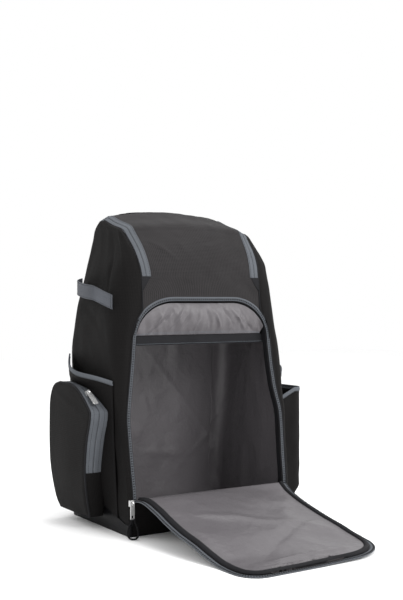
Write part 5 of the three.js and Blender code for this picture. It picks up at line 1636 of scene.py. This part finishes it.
class BACKPACK_OT_side_pocket(bpy.types.Operator):
    """Makes the zipped pocket on the left side"""

    bl_idname = "backpack.side_pocket"
    bl_label = "Zipped Side Pocket"

    def execute(self, context):
        pitch = sizes().stitch_pitch / MM
        tooth = sizes().tooth_pitch / MM
        radius = sizes().piping_radius / MM
        dents = crease_mm()
        aside = lambda point: Vector((-1, 0, 0))
        rounding = 9.0

        def face_place(u, v):
            share = 0.5 - 0.5 * math.cos(math.pi * v)
            up = lerp(POCKET_FOOT, POCKET_TOP, share)
            fore = -POCKET_FORE * pocket_column(up, "fore")
            aft = POCKET_AFT * pocket_column(up, "aft")
            depth = lerp(fore, aft, 0.5 - 0.5 * math.cos(math.pi * u))
            near = min(depth - fore, aft - depth, (POCKET_TOP - up) * 1.4, (up - POCKET_FOOT) * 1.4)
            edge = 1 - clamp(near / rounding)
            drop = 3.2 * (1 - math.sqrt(max(1 - edge * edge, 0)))
            wave = ripple((u * 3, v * 4, 0), 1.0, 71) + 0.6 * crease(u, v, (0.5, 0.75), 15, 0.3, 0.03)
            wave *= dents * 0.6
            out = pocket_face_out(up, (depth - fore) / max(aft - fore, 1)) - drop + wave * (1 - edge)
            return Vector((-out, depth, up))

        face = sheet("pocket_front_cloth", 64, 90, face_place, aside, (165, 250), 2.0)
        finish(face, "Woven polyester", ["pocket_face"])
        front, back = pocket_rim()
        start = next(place for place, (_, up) in enumerate(front) if up >= POCKET_ZIP_FOOT)
        end = next(place for place, (_, up) in enumerate(back) if up >= lerp(POCKET_FOOT, POCKET_TOP, 0.86))
        zip_line = front[start:] + list(reversed(back[end:]))
        gusset_line = list(reversed(back[: end + 1])) + front[: start + 1]

        def strip_place(line, lift, dip=0.0):
            def place(u, v):
                depth, up = on_line(line, v)
                near = on_line(line, v - 0.01)
                far = on_line(line, v + 0.01)
                run = Vector((0, far[0] - near[0], far[1] - near[1])).normalized()
                outward = Vector((0, -run.z, run.y))
                outer = pocket_face_out(up, 0) - 3.0
                inner = max(sleeve_out(LEFT, depth, up), side_face(up)) + 0.6
                middle = math.sin(u * math.pi)
                groove = math.exp(-(((u - 0.5) / 0.05) ** 2)) * dip
                return Vector((-lerp(outer, inner, u), depth, up)) + outward * (lift * middle - 0.2 - groove)

            return place

        centre = Vector((0, 5, 125))
        out_of_pocket = lambda point: Vector((0, point.y - centre.y, point.z - centre.z))
        zip_place = strip_place(zip_line, 1.2, 1.0)
        tape = sheet("pocket_zip", 28, 120, zip_place, out_of_pocket, (22, 360), 1.8)
        finish(tape, "Zip tape", ["pocket_zip_tape"])
        gusset_place = strip_place(gusset_line, 1.2)
        gusset = sheet("pocket_gusset_cloth", 8, 150, gusset_place, out_of_pocket, (24, 400), 1.8)
        finish(gusset, "Woven polyester", ["pocket_gusset"])
        teeth = marks_along(*line_on(zip_place, out_of_pocket, lambda share: (0.5, share), 220), tooth)
        coil = bars("pocket_coil", teeth, tooth * 0.62, 1.7, 0.5)
        finish(coil, "Dark nylon coil")
        threads = []
        for column in (0.2, 0.8):
            line = line_on(zip_place, out_of_pocket, lambda share: (column, share), 200)
            threads += marks_along(*line, pitch)
        outline = front + list(reversed(back))
        rim = [Vector((-(pocket_face_out(up, 0) - 2.2), depth, up)) for depth, up in outline]
        pipe = tube("pocket_piping", rim, radius * 1.1, cyclic=True)
        finish(pipe, "Grosgrain binding")
        stitching = bars("pocket_stitching", threads, pitch * 0.68, 0.6, 0.3)
        finish(stitching, "Dark thread")
        return {"FINISHED"}


class BACKPACK_OT_bottle_pocket(bpy.types.Operator):
    """Makes the open bottle pocket on the right side"""

    bl_idname = "backpack.bottle_pocket"
    bl_label = "Bottle Pocket"

    def execute(self, context):
        pitch = sizes().stitch_pitch / MM
        dents = crease_mm()
        outward = lambda point: Vector((point.x - 205, point.y - 3, 0))

        def wall_place(u, v):
            up = lerp(BOTTLE_FOOT, bottle_mouth(u) - BINDING_HEIGHT + 1, v)
            x, y = on_line(even_bottle_line(round(up, 1)), u)
            push = outward(Vector((x, y, up))).normalized()
            fold = ripple((u * 7, v * 3, 0), 1.0, 81) + 0.5 * ripple((u * 16, v * 8, 0), 1.0, 82)
            fold += creased(u, v, BOTTLE_CREASES)
            shift = push * dents * 0.8 * fold * ease(v, 0, 0.15)
            return Vector((x, y, up)) + shift * ease(u, 0, 0.08) * ease(1 - u, 0, 0.08)

        wall = sheet("bottle_pocket_cloth", 90, 60, wall_place, outward, (270, 205), 1.8)
        finish(wall, "Woven polyester", ["bottle_pocket"])

        def rim_place(u, v):
            up = lerp(bottle_mouth(u) - BINDING_HEIGHT, bottle_mouth(u), v)
            x, y = on_line(even_bottle_line(round(up, 1)), u)
            push = outward(Vector((x, y, up))).normalized()
            return Vector((x, y, up)) + push * (0.3 + 0.8 * math.sin(v * math.pi))

        rim = sheet("bottle_pocket_mouth", 90, 6, rim_place, outward, (270, 9), 2.8)
        finish(rim, "Zip tape", ["bottle_pocket_binding"])
        marks = marks_along(*line_on(rim_place, outward, lambda share: (share, 0.16), 160), pitch)
        stitching = bars("bottle_stitching", marks, pitch * 0.68, 0.6, 0.35)
        finish(stitching, "Dark thread")
        refinish("bottle_pocket_floor", "Woven polyester")
        return {"FINISHED"}


def back_path(route, side, thickness):
    path = []
    for up, across, off in route:
        place, rise = across * BAG_HALF, up * BAG_HEIGHT
        depth = back_face(place, rise) + thickness / 2 + 0.6 + off
        path.append(Vector((side * place, depth, rise)))
    return path


class BACKPACK_OT_harness(bpy.types.Operator):
    """Makes the haul handle, the padded shoulder straps and the webbing below them"""

    bl_idname = "backpack.harness"
    bl_label = "Handle and Shoulder Straps"

    def execute(self, context):
        behind = lambda point: Vector((0, 1, 0))
        pitch = sizes().stitch_pitch / MM
        marks = []
        foot = ZIP_REAR_FOOT - HANDLE_WIDTH
        top = BAG_HEIGHT - 1.2 * HANDLE_WIDTH
        stand = back_face(0, foot) + 2.0
        path = [Vector((share * HANDLE_HALF, stand, lerp(foot, top, rise))) for share, rise in HANDLE_ROUTE]

        def across_handle(v):
            run = curve_through(path, v + 0.02) - curve_through(path, v - 0.02)
            return run.cross(Vector((0, 1, 0))).normalized()

        handle_place = ribbon_place(path, across_handle, HANDLE_WIDTH)

        def rounded_handle(u, v):
            return handle_place(u, v) + Vector((0, 0.8 * math.sin(u * math.pi), 0))

        handle = sheet("haul_handle_webbing", 10, 90, rounded_handle, behind, (22, 200), 3.4, offset=0)
        finish(handle, "Black webbing", ["haul_handle"])
        for column in (0.1, 0.9):
            line = line_on(rounded_handle, behind, lambda share: (column, share), 120, lift=1.7)
            marks += marks_along(*line, pitch)
        for side, word in ((LEFT, "left"), (RIGHT, "right")):
            path = back_path(SHOULDER_ROUTE, side, SHOULDER_THICKNESS)
            sideways = lambda share: Vector((1, 0, 0))
            middle = ribbon_place(path, sideways, SHOULDER_WIDTH)

            def pad_place(u, v):
                edge = abs(2 * u - 1)
                point = middle(u, v)
                crown = 3.4 * math.sqrt(max(1 - edge**4, 0)) * ease(v, 0, 0.03) * ease(1 - v, 0, 0.03)
                return point + Vector((0, crown - 2.4 + 0.3 * ripple((u * 6, v * 14, side), 1.0, 91), 0))

            pad = sheet(f"shoulder_pad_{word}", 24, 80, pad_place, behind, (66, 290), 5.0, rounding=0.35)
            finish(pad, "Spacer mesh", [f"shoulder_strap_{word}"])
            for edge_u, name in ((0.0, "inner"), (1.0, "outer")):
                edge = [pad_place(edge_u, step / 70) - Vector((0, 2.2, 0)) for step in range(71)]
                rim = tube(f"shoulder_edge_{name}_{word}", edge, 3.2)
                finish(rim, "Grosgrain binding")
            tail_path = back_path(WEBBING_ROUTE, side, 2)
            tail_place = ribbon_place(tail_path, sideways, 25)
            tail = sheet(f"strap_tail_{word}", 8, 50, tail_place, behind, (25, 175), 2.0, offset=0)
            finish(tail, "Black webbing", [f"strap_webbing_{word}"])
            for column in (0.1, 0.9):
                line = line_on(tail_place, behind, lambda share: (column, share), 60, lift=1.0)
                marks += marks_along(*line, pitch)
            refinish(f"strap_adjuster_{word}", "Moulded nylon")
        stitching = bars("harness_stitching", marks, pitch * 0.68, 0.6, 0.3)
        finish(stitching, "Dark thread")
        return {"FINISHED"}


class BACKPACK_OT_hardware(bpy.types.Operator):
    """Gives the sliders and pulls their bare cast metal"""

    bl_idname = "backpack.hardware"
    bl_label = "Sliders and Pulls"

    def execute(self, context):
        names = ("main_zip_slider", "main_pull", "pocket_zip_slider", "pocket_pull_tab", "lid_zip_slider")
        for name in names:
            refinish(name, "Zinc alloy")
        return {"FINISHED"}


class BACKPACK_OT_materials(bpy.types.Operator):
    """Makes the cloths, tapes, threads, metal and nylon"""

    bl_idname = "backpack.materials"
    bl_label = "Materials"

    def execute(self, context):
        make_materials(context.scene.backpack_colours)
        return {"FINISHED"}


OPERATORS = (
    BACKPACK_OT_materials,
    BACKPACK_OT_stage,
    BACKPACK_OT_pull_cord,
    BACKPACK_OT_body,
    BACKPACK_OT_back,
    BACKPACK_OT_lid,
    BACKPACK_OT_opening,
    BACKPACK_OT_inside,
    BACKPACK_OT_flap,
    BACKPACK_OT_sleeves,
    BACKPACK_OT_bat_straps,
    BACKPACK_OT_side_pocket,
    BACKPACK_OT_bottle_pocket,
    BACKPACK_OT_harness,
    BACKPACK_OT_hardware,
)


class BACKPACK_PT_sidebar(bpy.types.Panel):
    """Lists the pieces of the backpack"""

    bl_idname = "BACKPACK_PT_sidebar"
    bl_label = "Bat Backpack"
    bl_space_type = "VIEW_3D"
    bl_region_type = "UI"
    bl_category = "Backpack"

    def draw(self, context):
        for settings in (context.scene.backpack_sizes, context.scene.backpack_colours):
            for name in settings.bl_rna.properties.keys():
                if name not in ("rna_type", "name"):
                    self.layout.prop(settings, name)
        for operator in OPERATORS:
            self.layout.operator(operator.bl_idname)


def register():
    for kind in (BackpackSizes, BackpackColours, *OPERATORS, BACKPACK_PT_sidebar):
        bpy.utils.register_class(kind)
    bpy.types.Scene.backpack_sizes = bpy.props.PointerProperty(type=BackpackSizes)
    bpy.types.Scene.backpack_colours = bpy.props.PointerProperty(type=BackpackColours)


def unregister():
    del bpy.types.Scene.backpack_colours
    del bpy.types.Scene.backpack_sizes
    for kind in (BACKPACK_PT_sidebar, *reversed(OPERATORS), BackpackColours, BackpackSizes):
        bpy.utils.unregister_class(kind)


def main():
    register()
    for operator in OPERATORS:
        getattr(bpy.ops.backpack, operator.bl_idname.split(".")[1])()


if __name__ == "__main__":
    main()
